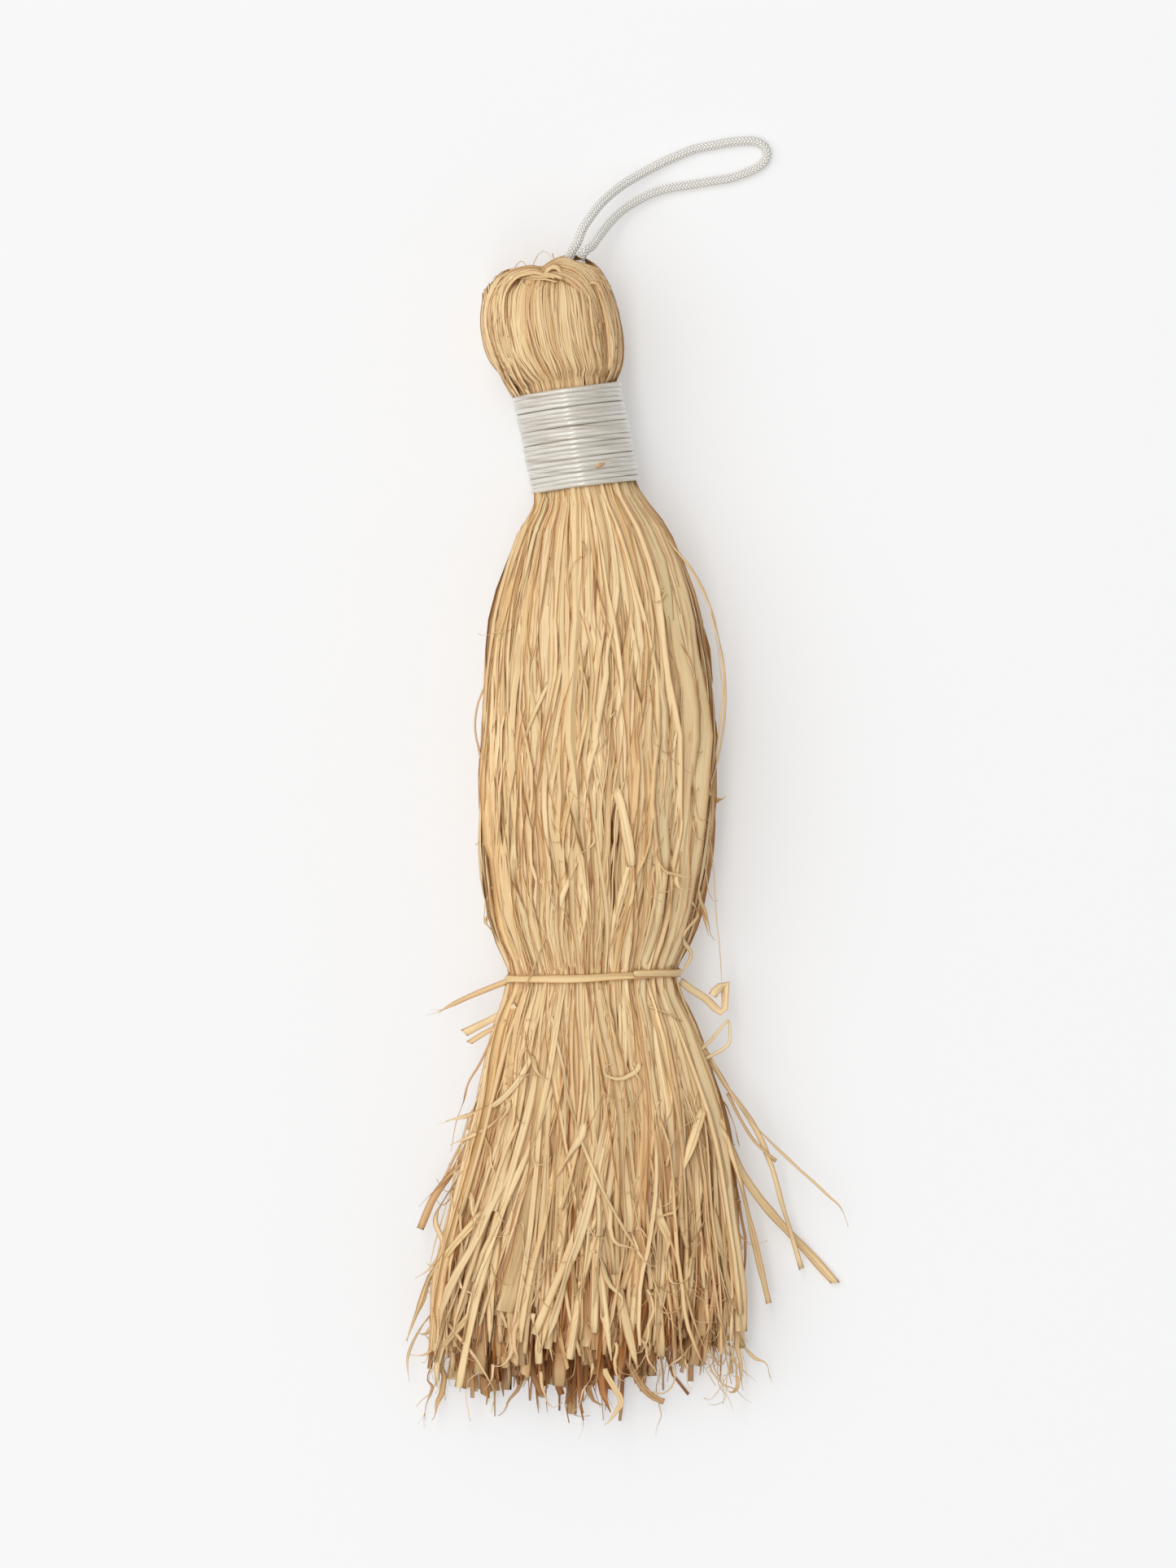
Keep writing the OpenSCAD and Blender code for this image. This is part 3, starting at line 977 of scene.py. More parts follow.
    def _skirt(self, rng: np.random.Generator, weave: Weave, angle: float, share: float) -> None:
        """Lay one short strand that shows only below the waist.

        Args:
            rng: the source of chance.
            weave: takes the strand.
            angle: its place around the hank.
            share: how far out it lies, 1 at the surface.
        """
        form = self.form
        tip = self._tip(rng, angle, share)
        if rng.uniform() < 0.55:
            tip += rng.uniform(0, 72)
        start = form.waist_y + rng.uniform(2, 14)
        y = np.linspace(start, tip, max(8, int((start - tip) / self.skirt_step)))
        skirt = form.skirt_fade(y)
        pull, group = self._pull(angle, y)
        stray = rng.uniform() < self.skirt_strays
        angles = angle + pull + skirt * rng.normal(0, 0.05 + 0.33 * stray)
        channel = self._channel(group, angle) * (1 - stray)
        surface = min(share, 0.97) + skirt * (rng.uniform(-0.1, 0.05) + 2.5 * group.proud - 0.22 * channel)
        if stray:
            rise = np.clip(skirt * rng.uniform(1.2, 3.0), 0, 1)
            surface = surface * (1 - rise) + rng.uniform(0.99, 1.06) * rise
        route, out = form.rim(y, angles, surface)
        under = max(0.0, -math.sin(angle) * share)
        spread = 2.0 + 8.5 * stray + 7.0 * under
        route[:, 0] += skirt**1.5 * rng.normal(0, spread) + skirt * 1.1 * wander(rng, y, 70)
        route[:, 0] += (0.5 + 0.7 * under) * kinks(rng, y, 14) * skirt
        route[:, 2] = np.maximum(route[:, 2] + skirt**1.5 * rng.normal(0, 1.6), LOW_POINT)
        wide = rng.choice(self.skirt_widths, p=self.skirt_width_odds) * (1 - 0.4 * under)
        twist = rng.normal(0, 0.5) + 0.9 * wander(rng, y, rng.uniform(35, 90)) * skirt
        flick = rng.normal(0, 2.2) * np.clip((tip + 22 - y) / 22, 0, 1) ** 2
        route[:, 0] += flick
        route[:, 2] += np.abs(flick) * 0.3
        age = np.clip(rng.exponential(0.08) + rng.uniform(0, 0.4) * under * skirt + 0.06 * skirt**3, 0, 1)
        # Painted shade: depth darkens skirt strands below the surface and in the channels between clumps.
        depth = np.clip((1.0 - surface) / 0.13, 0, 1) ** 0.6 * (0.6 + 0.4 * max(0.0, math.sin(angle)))
        depth = np.maximum(depth, 0.95 * channel * np.clip(2.2 * skirt, 0, 1))
        style = self.tips[rng.choice(len(self.tips), p=self.skirt_tip_odds)]
        self._lay(rng, weave, Strand(route, out, width=wide, tint=rng.uniform(), age=age, depth=depth,
                                     roll=twist, tip=style))


@dataclass
class Curls:
    """Short torn bits that curl off the hank."""

    form: HankForm
    points: int = 14

    def scatter(self, rng: np.random.Generator, weave: Weave, count: int, low: float, high: float) -> None:
        """Add curls all around a stretch of the hank.

        Args:
            rng: the source of chance.
            weave: takes the curls.
            count: how many.
            low: the lowest y.
            high: the highest y.
        """
        for _ in range(count):
            y, angle = rng.uniform(low, high), rng.uniform(0, 2 * math.pi)
            start, out = self.form.rim(np.array([y]), np.array([angle]), 1.0)
            self._curl(rng, weave, start[0], out[0])

    def _curl(self, rng: np.random.Generator, weave: Weave, start: Array, out: Array) -> None:
        """Add one curl.

        Args:
            rng: the source of chance.
            weave: takes the curl.
            start: its place on the hank.
            out: the direction out of the hank there.
        """
        length = rng.uniform(6, 22)
        s = np.linspace(0, length, self.points)
        heading = rng.normal(0, 0.35) + rng.normal(0, 1.6) * (s / length) ** 2 + 0.5 * wander(rng, s, 14)
        along, around = np.array([0.0, -1.0, 0.0]), unit(np.cross(out, [0.0, 1.0, 0.0]))
        ds = length / (self.points - 1)
        down, across = np.cumsum(np.cos(heading))[:, None], np.cumsum(np.sin(heading))[:, None]
        path = down * along * ds + across * around * ds
        lift = 0.5 + rng.uniform(0, 2.2) * (s / length) ** 1.5
        route = start + path + out * lift[:, None]
        route[:, 2] = np.maximum(route[:, 2], 0.4)
        if out[2] > 0.15:
            inside = self.form.upper(route[:, 0], route[:, 1]) + 0.3
            route[:, 2] = np.where(inside > 1.6, np.maximum(route[:, 2], inside), route[:, 2])
        twist = np.linspace(0, rng.normal(0, 3.0), self.points)
        weave.add_strand(rng, Strand(
            route, np.repeat(out[None], self.points, axis=0), width=rng.choice([0.3, 0.6, 1.1, 1.8]),
            tint=rng.uniform(), age=min(1.0, rng.exponential(0.12)), roll=twist, tip=TipStyle.TORN))


@dataclass
class Head:
    """The folded top of the hank: strands up from the neck, and the ones that cross the crown."""

    form: HankForm
    meridians: int = 640
    overs: int = 36
    arcs: int = 520
    caps: int = 430
    ridges: int = 22
    arc_points: int = 23
    cap_points: int = 24
    thick: float = 0.2
    shoulder: float = 149.0
    middle_y: float = 139.0
    slot_x: float = -4.7
    slot_y: float = 154.5
    slot_half: float = 5.5
    slot_depth: float = 3.9
    slot_dip: float = 2.5
    slot_dip_half: float = 4.8
    crown: tuple[tuple[float, float], ...] = (
        (-34.5, 149.2), (-33, 152.5), (-31, 155.0), (-26, 157.0), (-20, 158.0), (-16.5, 157.6), (-14, 159.4),
        (-10.5, 160.9), (-7.9, 161.4), (-3, 160.3), (1.5, 157.2), (4.8, 152.8), (7.5, 149.2))
    right_outer: tuple[tuple[float, float], ...] = (
        (-16.5, 156.0), (-12.5, 159.8), (-7.9, 161.4), (-1.5, 159.6), (2.8, 155.3), (6.3, 147.0),
        (8.4, 138.0), (8.7, 130.5), (7.4, 125.0), (4.8, 120.5))
    right_inner: tuple[tuple[float, float], ...] = (
        (-21.5, 152.4), (-17.5, 154.0), (-13.0, 154.8), (-8.5, 153.8), (-4.6, 150.5), (-2.0, 145.5),
        (-0.4, 139.0), (0.6, 131.0), (1.0, 125.5), (0.6, 119.5))
    left_outer: tuple[tuple[float, float], ...] = (
        (-15.0, 156.8), (-19.0, 157.9), (-22.5, 157.6), (-27.0, 156.2), (-30.5, 152.8), (-32.8, 148.0),
        (-33.6, 141.0), (-32.2, 133.5), (-28.4, 124.5), (-24.0, 117.5))
    left_inner: tuple[tuple[float, float], ...] = (
        (-16.5, 154.4), (-20.0, 155.2), (-24.0, 154.6), (-27.5, 152.4), (-29.8, 148.6), (-30.8, 144.0),
        (-30.6, 138.0), (-28.5, 130.0), (-25.5, 123.5), (-22.0, 117.5))

    def build(self, rng: np.random.Generator, front: Weave, back: Weave) -> None:
        """Build the head's strands.

        Args:
            rng: the source of chance.
            front: takes the strands that face up.
            back: takes the strands that face the table.
        """
        for i in range(self.meridians):
            angle = (2 * math.pi * (i + rng.uniform()) / self.meridians * 5) % (2 * math.pi)
            self._meridian(rng, front if math.sin(angle) > 0 else back, angle)
        for i in range(self.overs):
            self._over(rng, front if i % 2 else back, rng.uniform(-11.5, 2.0), 1 if i % 2 else -1)
        for i in range(self.arcs):
            side = 1 if i % 2 else -1
            hand = rng.uniform() < 0.68
            guides = (self.right_inner, self.right_outer) if hand else (self.left_inner, self.left_outer)
            self._arc(rng, front if side > 0 else back, side, np.array(guides[0]), np.array(guides[1]))
        for i in range(self.caps):
            side = 1 if i % 2 else -1
            self._cap(rng, front if side > 0 else back, side)
        for i in range(self.ridges):
            self._ridge(rng, front if i % 2 else back, 1 if i % 2 else -1)

    def skin(self, x: Array, y: Array, side: int, proud: float = 0.0) -> Array:
        """The head's surface over a place.

        Args:
            x: places across.
            y: places along.
            side: 1 for the upper face and -1 for the one towards the table.
            proud: how far off the surface.

        Returns:
            The heights.
        """
        form = self.form
        s = form.at(np.minimum(y, self.shoulder))
        lean = np.tan(np.radians(s[..., 4]))
        s = form.at(np.minimum(y - (x - s[..., 0]) * lean, self.shoulder))
        reach = np.clip((x - s[..., 0]) / s[..., 1], -1, 1)
        table = np.array(self.crown)
        top = np.interp(x, table[:, 0], table[:, 1])
        climb = np.clip((y - self.shoulder) / np.maximum(top - self.shoulder, 0.5), 0, 1)
        height = s[..., 2] * np.sqrt(1 - reach**2) * np.sqrt(1 - climb**2) + proud
        slot = (np.abs(x - self.slot_x) < self.slot_half) & (y > self.slot_y)
        height = np.where(slot, np.maximum(height, self.slot_depth), height)
        return np.maximum(form.head_z + side * height, LOW_POINT)

    def _outward(self, route: Array, along: float) -> Array:
        """Directions away from the head's middle, with only a share of their lengthwise part."""
        centre = np.array([self.form.neck_x(self.middle_y + 1.0) + 1.5, self.middle_y, self.form.head_z])
        return unit((route - centre) * np.array([1.0, along, 1.0]))

    def _limit(self, x: Array, y: Array, side: int) -> Array:
        """Keep the upper strands clear of the cord's way out of the crown.

        Args:
            x: places across.
            y: places along.
            side: 1 for the upper face and -1 for the one towards the table.

        Returns:
            The places along, lowered where needed.
        """
        if side < 0:
            return y
        dip = self.slot_dip * np.exp(-(((x - self.slot_x) / self.slot_dip_half) ** 2))
        table = np.array(self.crown)
        return np.minimum(y, np.interp(x, table[:, 0], table[:, 1]) - dip)

    def _finish(self, rng: np.random.Generator, weave: Weave, x: Array, y: Array, side: int, proud: float,
                widths: tuple[float, ...], tip: TipStyle = TipStyle.CUT, age: float = 0.0) -> None:
        """Lay a strand over the head's surface.

        Args:
            rng: the source of chance.
            weave: takes the strand.
            x: its places across.
            y: its places along.
            side: 1 for the upper face and -1 for the one towards the table.
            proud: how far off the surface.
            widths: the widths to choose from.
            tip: how it ends.
            age: how brown it is.
        """
        y = self._limit(x, y, side)
        tuck = 1.4 * np.clip((124 - y) / 5, 0, 1)
        z = self.skin(x, y, side, proud) - side * tuck
        route = np.stack([x, y, z], -1)
        out = self._outward(route, 0.5)
        wide = rng.choice(widths)
        tint = rng.uniform(0.12, 0.8)
        roll = rng.normal(0, 0.2) + 0.15 * wander(rng, travelled(route), 40)
        aged = float(np.clip(rng.exponential(0.05) + age, 0, 1))
        # Painted shade: strands that lie below the head's surface are darkened.
        depth = float(np.clip(-proud * 0.4, 0, 1))
        weave.add_strand(rng, Strand(route, out, width=wide, tint=tint, age=aged, depth=depth, roll=roll,
                                     tip=tip, thick=self.thick))

    def _meridian(self, rng: np.random.Generator, weave: Weave, angle: float) -> None:
        """Lay one strand up the head from the binding, tucked in at the crown.

        Args:
            rng: the source of chance.
            weave: takes the strand.
            angle: its place around the head.
        """
        form = self.form
        share = 1.0 - 0.045 * rng.uniform() ** 1.5
        place = form.rim(np.array([self.shoulder]), np.array([angle]), share)[0][0, 0]
        table = np.array(self.crown)
        top = min(152.6 + rng.uniform(0, 1.6), np.interp(place, table[:, 0], table[:, 1]) - 2.4)
        y = np.linspace(form.neck_top - 3, top, 19)
        climb = np.clip((form.crown_y - y) / 30, 0, 1)
        angles = angle + 0.05 * climb * wander(rng, y, 50) + 0.012 * kinks(rng, y, 9)
        route, out = form.rim(y, angles, share)
        inward = np.array([0.0, 0.9, -2.2 * math.sin(angle)])
        route = np.vstack([route, route[-1] + inward, route[-1] + inward * 2.4])
        out = np.vstack([out, out[-1], out[-1]])
        wide = rng.choice([0.5, 0.8, 1.2, 1.7], p=[0.28, 0.34, 0.26, 0.12])
        squeeze = 1 - 0.3 * np.clip((form.neck_top + 9 - route[:, 1]) / 9, 0, 1)
        # Painted shade: meridians that lie lower are darkened.
        depth = float(np.clip((1 - share) * 9, 0, 1))
        weave.add_strand(rng, Strand(
            route, out, width=wide * squeeze, tint=rng.uniform(0.12, 0.8),
            age=min(1.0, rng.exponential(0.04)), depth=depth, roll=rng.normal(0, 0.22), thick=self.thick))

    def _over(self, rng: np.random.Generator, weave: Weave, x: float, side: int) -> None:
        """Lay one strand that folds over the crown.

        Args:
            rng: the source of chance.
            weave: takes the strand.
            x: its place across.
            side: 1 for the upper face and -1 for the one towards the table.
        """
        points = 12
        turn = np.linspace(0.35, math.pi / 2 + 0.15, points)
        table = np.array(self.crown)
        top = np.interp(x, table[:, 0], table[:, 1]) - 3.0
        if abs(x - self.slot_x) < self.slot_half:
            top = 154.2
        y = self.shoulder + (top - self.shoulder) * np.sin(turn)
        s = self.form.at(np.array([self.shoulder]))[0]
        reach = min(0.98, abs((x - s[0]) / s[1]))
        z = self.form.head_z + side * s[2] * math.sqrt(1 - reach**2) * np.cos(turn) * 0.9
        route = np.stack([x + rng.normal(0, 0.8) * np.sin(turn), y, z], -1)
        out = unit(np.stack([np.zeros(points), np.sin(turn), side * np.cos(turn)], -1) + 1e-6)
        # Painted shade: the strands that fold over the crown lie in its hollow and are given a fixed
        # darkening.
        weave.add_strand(rng, Strand(
            route, out, width=rng.uniform(0.8, 1.5), tint=rng.uniform(0.1, 0.8), age=0.1, depth=0.5,
            roll=rng.normal(0, 0.2), thick=self.thick))

    def _arc(self, rng: np.random.Generator, weave: Weave, side: int, inner: Array, outer: Array) -> None:
        """Lay one strand from the saddle, over a shoulder of the crown and down to the binding.

        Args:
            rng: the source of chance.
            weave: takes the strand.
            side: 1 for the upper face and -1 for the one towards the table.
            inner: the innermost such strand, as places across and along.
            outer: the outermost one.
        """
        q = rng.uniform(0.0, 1.0)
        guide = inner * (1 - q) + outer * q
        line = smooth_route(guide, self.arc_points)
        t = np.linspace(0, 1, self.arc_points)
        line[:, 0] += 0.5 * wander(rng, t * 60, 55)
        line[:, 1] += rng.normal(0, 0.35) - 0.1
        if rng.uniform() < 0.25:
            line = line[: rng.integers(11, 22)]
        proud = -0.9 + 1.1 * q + rng.uniform(-0.3, 0.3)
        widths = (0.5, 0.8, 1.1, 1.5)
        self._finish(rng, weave, line[:, 0], line[:, 1], side, proud, widths, TipStyle.SLANT)

    def _cap(self, rng: np.random.Generator, weave: Weave, side: int) -> None:
        """Lay one strand along the top of the crown and down one shoulder, parting around the cord.

        Args:
            rng: the source of chance.
            weave: takes the strand.
            side: 1 for the upper face and -1 for the one towards the table.
        """
        form = self.form
        outline = self.right_outer if rng.uniform() < 0.55 else self.left_outer
        line = smooth_route(np.array(outline), self.cap_points)
        if rng.uniform() < 0.35:
            other = self.left_outer if outline is self.right_outer else self.right_outer
            start = smooth_route(np.array(other), self.cap_points)[rng.integers(2, 7):0:-1]
            line = np.vstack([start, line])
        line = line[: rng.integers(16, 25) + len(line) - self.cap_points]
        x, y = line[:, 0], line[:, 1]
        lean = math.radians(rng.uniform(0, 44 if outline is self.right_outer else 54))
        turn = lean + 0.03 * kinks(rng, travelled(line), 12)
        scale = 1 - 0.035 * rng.uniform() + 0.012 * wander(rng, travelled(line), 30)
        axis, shrink = form.neck_x(y) + 1.2, np.cos(turn) ** 0.6 * scale
        x = axis + (x - axis) * shrink
        high = y > self.shoulder
        y = np.where(high, self.shoulder + (y - self.shoulder) * shrink, y)
        rise = form.at(np.minimum(y, self.shoulder))[:, 2] * np.sin(turn) * scale
        slot = np.exp(-(((x - self.slot_x) / self.slot_half) ** 4)) * (y > 150)
        rise = rise + np.maximum(self.slot_depth * slot - rise, 0)
        y = np.where(high, self._limit(x, y, side), y)
        if side > 0 and lean > 0.2:
            y = y - 4.8 * np.exp(-(((x - self.slot_x) / 6.0) ** 4)) * np.clip((y - 152) / 5, 0, 1)
        route = np.stack([x, y, form.head_z + side * rise], -1)
        out = self._outward(route, 0.6)
        # Painted shade: caps drawn in below the surface are darkened.
        depth = float(np.clip((0.985 - np.mean(scale)) * 25, 0, 0.8))
        weave.add_strand(rng, Strand(
            route, out, width=rng.choice([0.6, 0.9, 1.3, 1.8]), tint=rng.uniform(0.12, 0.8),
            age=min(1.0, rng.exponential(0.05)), depth=depth, roll=rng.normal(0, 0.2), tip=TipStyle.SLANT,
            thick=self.thick))

    def _ridge(self, rng: np.random.Generator, weave: Weave, side: int) -> None:
        """Lay one strand of the bundle that lies across the crown and sticks out at the left.

        Args:
            rng: the source of chance.
            weave: takes the strand.
            side: 1 for the upper face and -1 for the one towards the table.
        """
        shift = rng.normal(0, 0.7)
        guide = np.array([(-9.0, 153.0), (-12.0, 154.0), (-15.0, 154.8), (-19.0, 155.0), (-24.0, 155.4),
                          (-28.5, 154.9), (-31.2, 154.4)])
        line = smooth_route(guide, self.cap_points)
        line[:, 1] += shift + 0.35 * kinks(rng, line[:, 0], 6)
        line = line[rng.integers(0, 10): rng.integers(16, 25)]
        self._finish(rng, weave, line[:, 0], line[:, 1], side, rng.uniform(0.2, 1.1), (0.4, 0.7, 1.1),
                     TipStyle.TORN, rng.choice([0.0, 0.0, 0.25]))


@dataclass
class NeckBinding:
    """One satin cord wound around the neck."""

    form: HankForm
    turns: int = 21
    cord: float = 1.72
    steps: int = 84
    sides: int = 14

    def build(self, rng: np.random.Generator, weave: Weave) -> None:
        """Wind the cord, with the small unevenness of a winding made by hand.

        Args:
            rng: the source of chance.
            weave: takes the cord.
        """
        form = self.form
        count = self.turns * self.steps
        t = np.arange(count + 1) / self.steps
        pitch = (form.neck_top - form.neck_low - 0.4) / self.turns
        drift = 0.18 * wander(rng, t, 3.7) + 0.11 * wander(rng, t, 1.3) + 0.05 * wander(rng, t, 0.35)
        y = form.neck_low + 0.7 + pitch * t + drift * np.clip(self.turns - t, 0, 1)
        angle = -2 * math.pi * t + math.pi
        reach = form.neck_r + 0.75 + self.cord / 2 + 0.16 * wander(rng, t, 2.3) + 0.12 * wander(rng, t, 0.9)
        tilt = math.radians(form.tilt)
        middle = np.stack([form.neck_x(y), y, np.full_like(y, form.head_z)], -1)
        out = np.stack([np.cos(angle) * math.cos(tilt), np.cos(angle) * math.sin(tilt), np.sin(angle)], -1)
        route = middle + out * reach[:, None]
        ahead = unit(np.gradient(route, axis=0))
        side = unit(np.cross(ahead, out))
        k = np.arange(self.sides) * 2 * math.pi / self.sides
        flat = 0.5 * self.cord * (1.02 + 0.06 * wander(rng, t, 1.9))[:, None, None]
        tall = 0.5 * self.cord * 0.95
        rings = (route[:, None, :] + np.cos(k)[None, :, None] * side[:, None, :] * flat
                 + np.sin(k)[None, :, None] * out[:, None, :] * tall)
        length = travelled(route)
        across = np.broadcast_to(k[None, :] * self.cord / 2, rings.shape[:2])
        twist = across + length[:, None] * 0.12
        uv = np.stack([twist, np.broadcast_to(length[:, None], across.shape)], -1)
        # edge is 1 at the cord's sides, where the satin finish paints shade where neighbouring turns meet.
        edge = np.broadcast_to(np.abs(np.cos(k)), rings.shape[:2])
        weave.add_rings(rings, uv, False, edge=edge)


@dataclass
class BraidedLoop:
    """The braided hanging cord, one free cord from the knot and back to it."""

    diameter: float = 3.1
    yarns: int = 8
    pitch: float = 8.4
    ring_step: float = 0.16
    sides: int = 56
    route_points: int = 900
    relief: float = 0.42
    offsets: tuple[tuple[float, float, float], ...] = (
        (-2, 4, 1), (-0.5, 6.5, 0.97), (1, 10.5, 0.9), (3.5, 14.5, 0.77), (6.5, 18.5, 0.6),
        (10, 22, 0.42), (14.5, 25.5, 0.25), (19.5, 28.5, 0.12), (25, 31.5, 0.05), (30.5, 34, 0.02),
        (35.5, 36, 0), (40.5, 37, 0), (45.5, 38, 0), (50.5, 38.5, 0), (54, 38.5, 0),
        (57, 37, 0), (58, 34.5, 0), (57, 32, 0), (54.5, 30, 0), (51, 28.5, 0),
        (46.5, 27, 0), (40.5, 26, 0), (34.5, 25, 0), (28.5, 24, 0.02), (23, 22.5, 0.05),
        (18, 20, 0.12), (13.5, 17, 0.25), (9.5, 13, 0.45), (6.5, 9, 0.68), (4, 5.5, 0.88),
        (2, 4, 1),
    )
    first_in_knot: tuple[float, float, float] = (-3.1, 1.3, 1)
    last_in_knot: tuple[float, float, float] = (0.4, 1.6, 1)

    def route(self) -> Array:
        """The cord's own points, as in the part, with its ends run into the knot.

        Returns:
            The points, in millimetres.
        """
        low, high = (np.array(v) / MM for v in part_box("loop_knot"))
        pivot = (low + high) / 2
        rest = self.diameter / 2
        return np.array([(pivot[0] + dx, pivot[1] + dy, rest + rise * (pivot[2] - rest))
                         for dx, dy, rise in (self.first_in_knot, *self.offsets, self.last_in_knot)])

    def build(self, weave: Weave) -> Array:
        """Braid the cord.

        Args:
            weave: takes the mesh.

        Returns:
            The smooth centre line, in millimetres.
        """
        line = smooth_route(self.route(), self.route_points)
        length = travelled(line)
        at = np.linspace(0, length[-1], int(length[-1] / self.ring_step))
        line = np.stack([np.interp(at, length, line[:, k]) for k in range(3)], -1)
        ahead = unit(np.gradient(line, axis=0))
        side = unit(np.cross(ahead, np.array([0.0, 0.0, 1.0])))
        up = np.cross(side, ahead)
        turn = np.arange(self.sides) / self.sides
        depth = self.stitch(at[:, None], turn[None, :])
        radius = self.diameter / 2 - self.relief * (1 - depth)
        angle = turn * 2 * math.pi
        rings = (line[:, None, :] + (radius * np.cos(angle)[None, :])[..., None] * side[:, None, :]
                 + (radius * np.sin(angle)[None, :])[..., None] * up[:, None, :])
        rings[..., 2] = np.maximum(rings[..., 2], 0.0)
        across = np.broadcast_to(turn[None, :] * self.diameter * math.pi, depth.shape)
        uv = np.stack([across, np.broadcast_to(at[:, None], depth.shape)], -1)
        weave.add_rings(rings, uv, False, depth=depth)
        return line

    def stitch(self, along: Array, turn: Array) -> Array:
        """Height of the braid, 0 in its gaps and 1 on its stitches.

        Each yarn runs over two that cross it and under the next two.

        Args:
            along: millimetres along the cord.
            turn: turns around it.

        Returns:
            The height at each place.
        """
        a = turn * self.yarns + along * self.yarns / self.pitch
        b = turn * self.yarns - along * self.yarns / self.pitch
        place = (np.floor(a) + np.floor(b)) % 4
        over = place < 2
        across = np.where(over, 2 * (a % 1) - 1, 2 * (b % 1) - 1)
        first = (b + np.floor(a)) % 4 - 1
        second = (a + np.floor(b) - 2) % 4 - 1
        lengthwise = np.where(over, first, second)
        return np.clip(1 - 0.8 * across**2 - 0.5 * lengthwise**2, 0, 1)


@dataclass
class LoopKnot:
    """The knot in the loop's cord, between the crown's two folds."""

    braid: BraidedLoop
    cord: float = 2.3
    relief: float = 0.3
    sides: int = 40

    def build(self, weave: Weave) -> None:
        """Tie a small closed knot inside the space that the part keeps for it.

        Args:
            weave: takes the knot.
        """
        low, high = (np.array(v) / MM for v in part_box("loop_knot"))
        middle = (low + high) / 2 - np.array([0.0, 0.9, 0.0])
        reach = (high[0] - low[0]) / 2 - 0.5
        t = np.linspace(0, 2 * math.pi, 241)
        size = (reach - self.cord / 2) / 3
        line = middle + size * np.stack([np.sin(t) + 2 * np.sin(2 * t), np.cos(t) - 2 * np.cos(2 * t),
                                         -1.6 * np.sin(3 * t)], -1)
        ahead = unit(np.gradient(line, axis=0))
        side = unit(np.cross(ahead, line - middle + 0.01))
        up = np.cross(side, ahead)
        turn = np.arange(self.sides) / self.sides
        at = travelled(line)
        depth = self.braid.stitch(at[:, None], turn[None, :])
        radius = (self.cord / 2 - self.relief * (1 - depth))[..., None]
        angle = turn * 2 * math.pi
        rings = line[:, None, :] + radius * (
            np.cos(angle)[None, :, None] * side[:, None, :] + np.sin(angle)[None, :, None] * up[:, None, :])
        across = np.broadcast_to(turn[None, :] * self.cord * math.pi, depth.shape)
        uv = np.stack([across, np.broadcast_to(at[:, None], depth.shape)], -1)
        weave.add_rings(rings, uv, False, depth=depth)


@dataclass
class WaistTie:
    """The flat raffia tie around the waist and its second lap; its two tails are loose strands."""

    form: HankForm
    width: float = 2.3
    tint: float = 0.86

    def lap(self, rng: np.random.Generator, weave: Weave, start: float, end: float, rise: float,
            shift: float) -> None:
        """One lap of the tie.

        Args:
            rng: the source of chance.
            weave: takes the mesh.
            start: where it starts, in degrees around the waist.
            end: where it ends.
            rise: how far it stands off the strands.
            shift: how far along the hank its middle is moved.
        """
        form = self.form
        turn = np.radians(np.linspace(start, end, max(12, int(abs(end - start) / 3))))
        y = form.waist_y + shift + 0.3 * wander(rng, turn, 3.0) + 0.9 * np.cos(turn)
        route, out = form.rim(y, turn)
        route = route + out * rise
        route[:, 2] = np.maximum(route[:, 2], 0.3)
        width = self.width * (1 + 0.12 * wander(rng, turn, 2.0))
        weave.add_strand(rng, Strand(route, out, width=width, tint=self.tint,
                                     roll=0.1 * wander(rng, turn, 2.5), thick=0.3, pleat=0.22))


@dataclass(frozen=True)
class LooseStrand:
    """A strand that leaves the hank: where it goes, seen from above, and how high it lies.

    Each place is x, y and the height over the hank's own surface.
    """

    name: str
    places: tuple[tuple[float, float, float], ...]
    width: float
    tint: float = 0.6
    age: float = 0.0
    twist: float = 0.5
    tip: TipStyle = TipStyle.SLANT
    node: str = ""

    def add(self, rng: np.random.Generator, form: HankForm, weave: Weave) -> None:
        """Make the strand.

        Args:
            rng: the source of chance.
            form: the hank it lies on.
            weave: takes the mesh.
        """
        points = np.array(self.places, float)
        points[:, 2] += form.upper(points[:, 0], points[:, 1])
        length = travelled(points)[-1]
        steps = max(8, int(length / 2.2))
        route = smooth_route(points, steps)
        at = travelled(route)
        fade = np.sin(np.linspace(0, math.pi, steps))
        route[:, 0] += 0.22 * kinks(rng, at, 9) * fade
        route[:, 2] = np.maximum(route[:, 2], 0.4)
        out = np.repeat([[0.0, 0.05, 1.0]], steps, axis=0)
        roll = self.twist * (wander(rng, at, 45) + 0.4)
        width = self.width * (1 + 0.12 * wander(rng, at, 25))
        weave.add_strand(rng, Strand(route, out, width=width, tint=self.tint, age=self.age, roll=roll,
                                     tip=self.tip, thick=0.2))


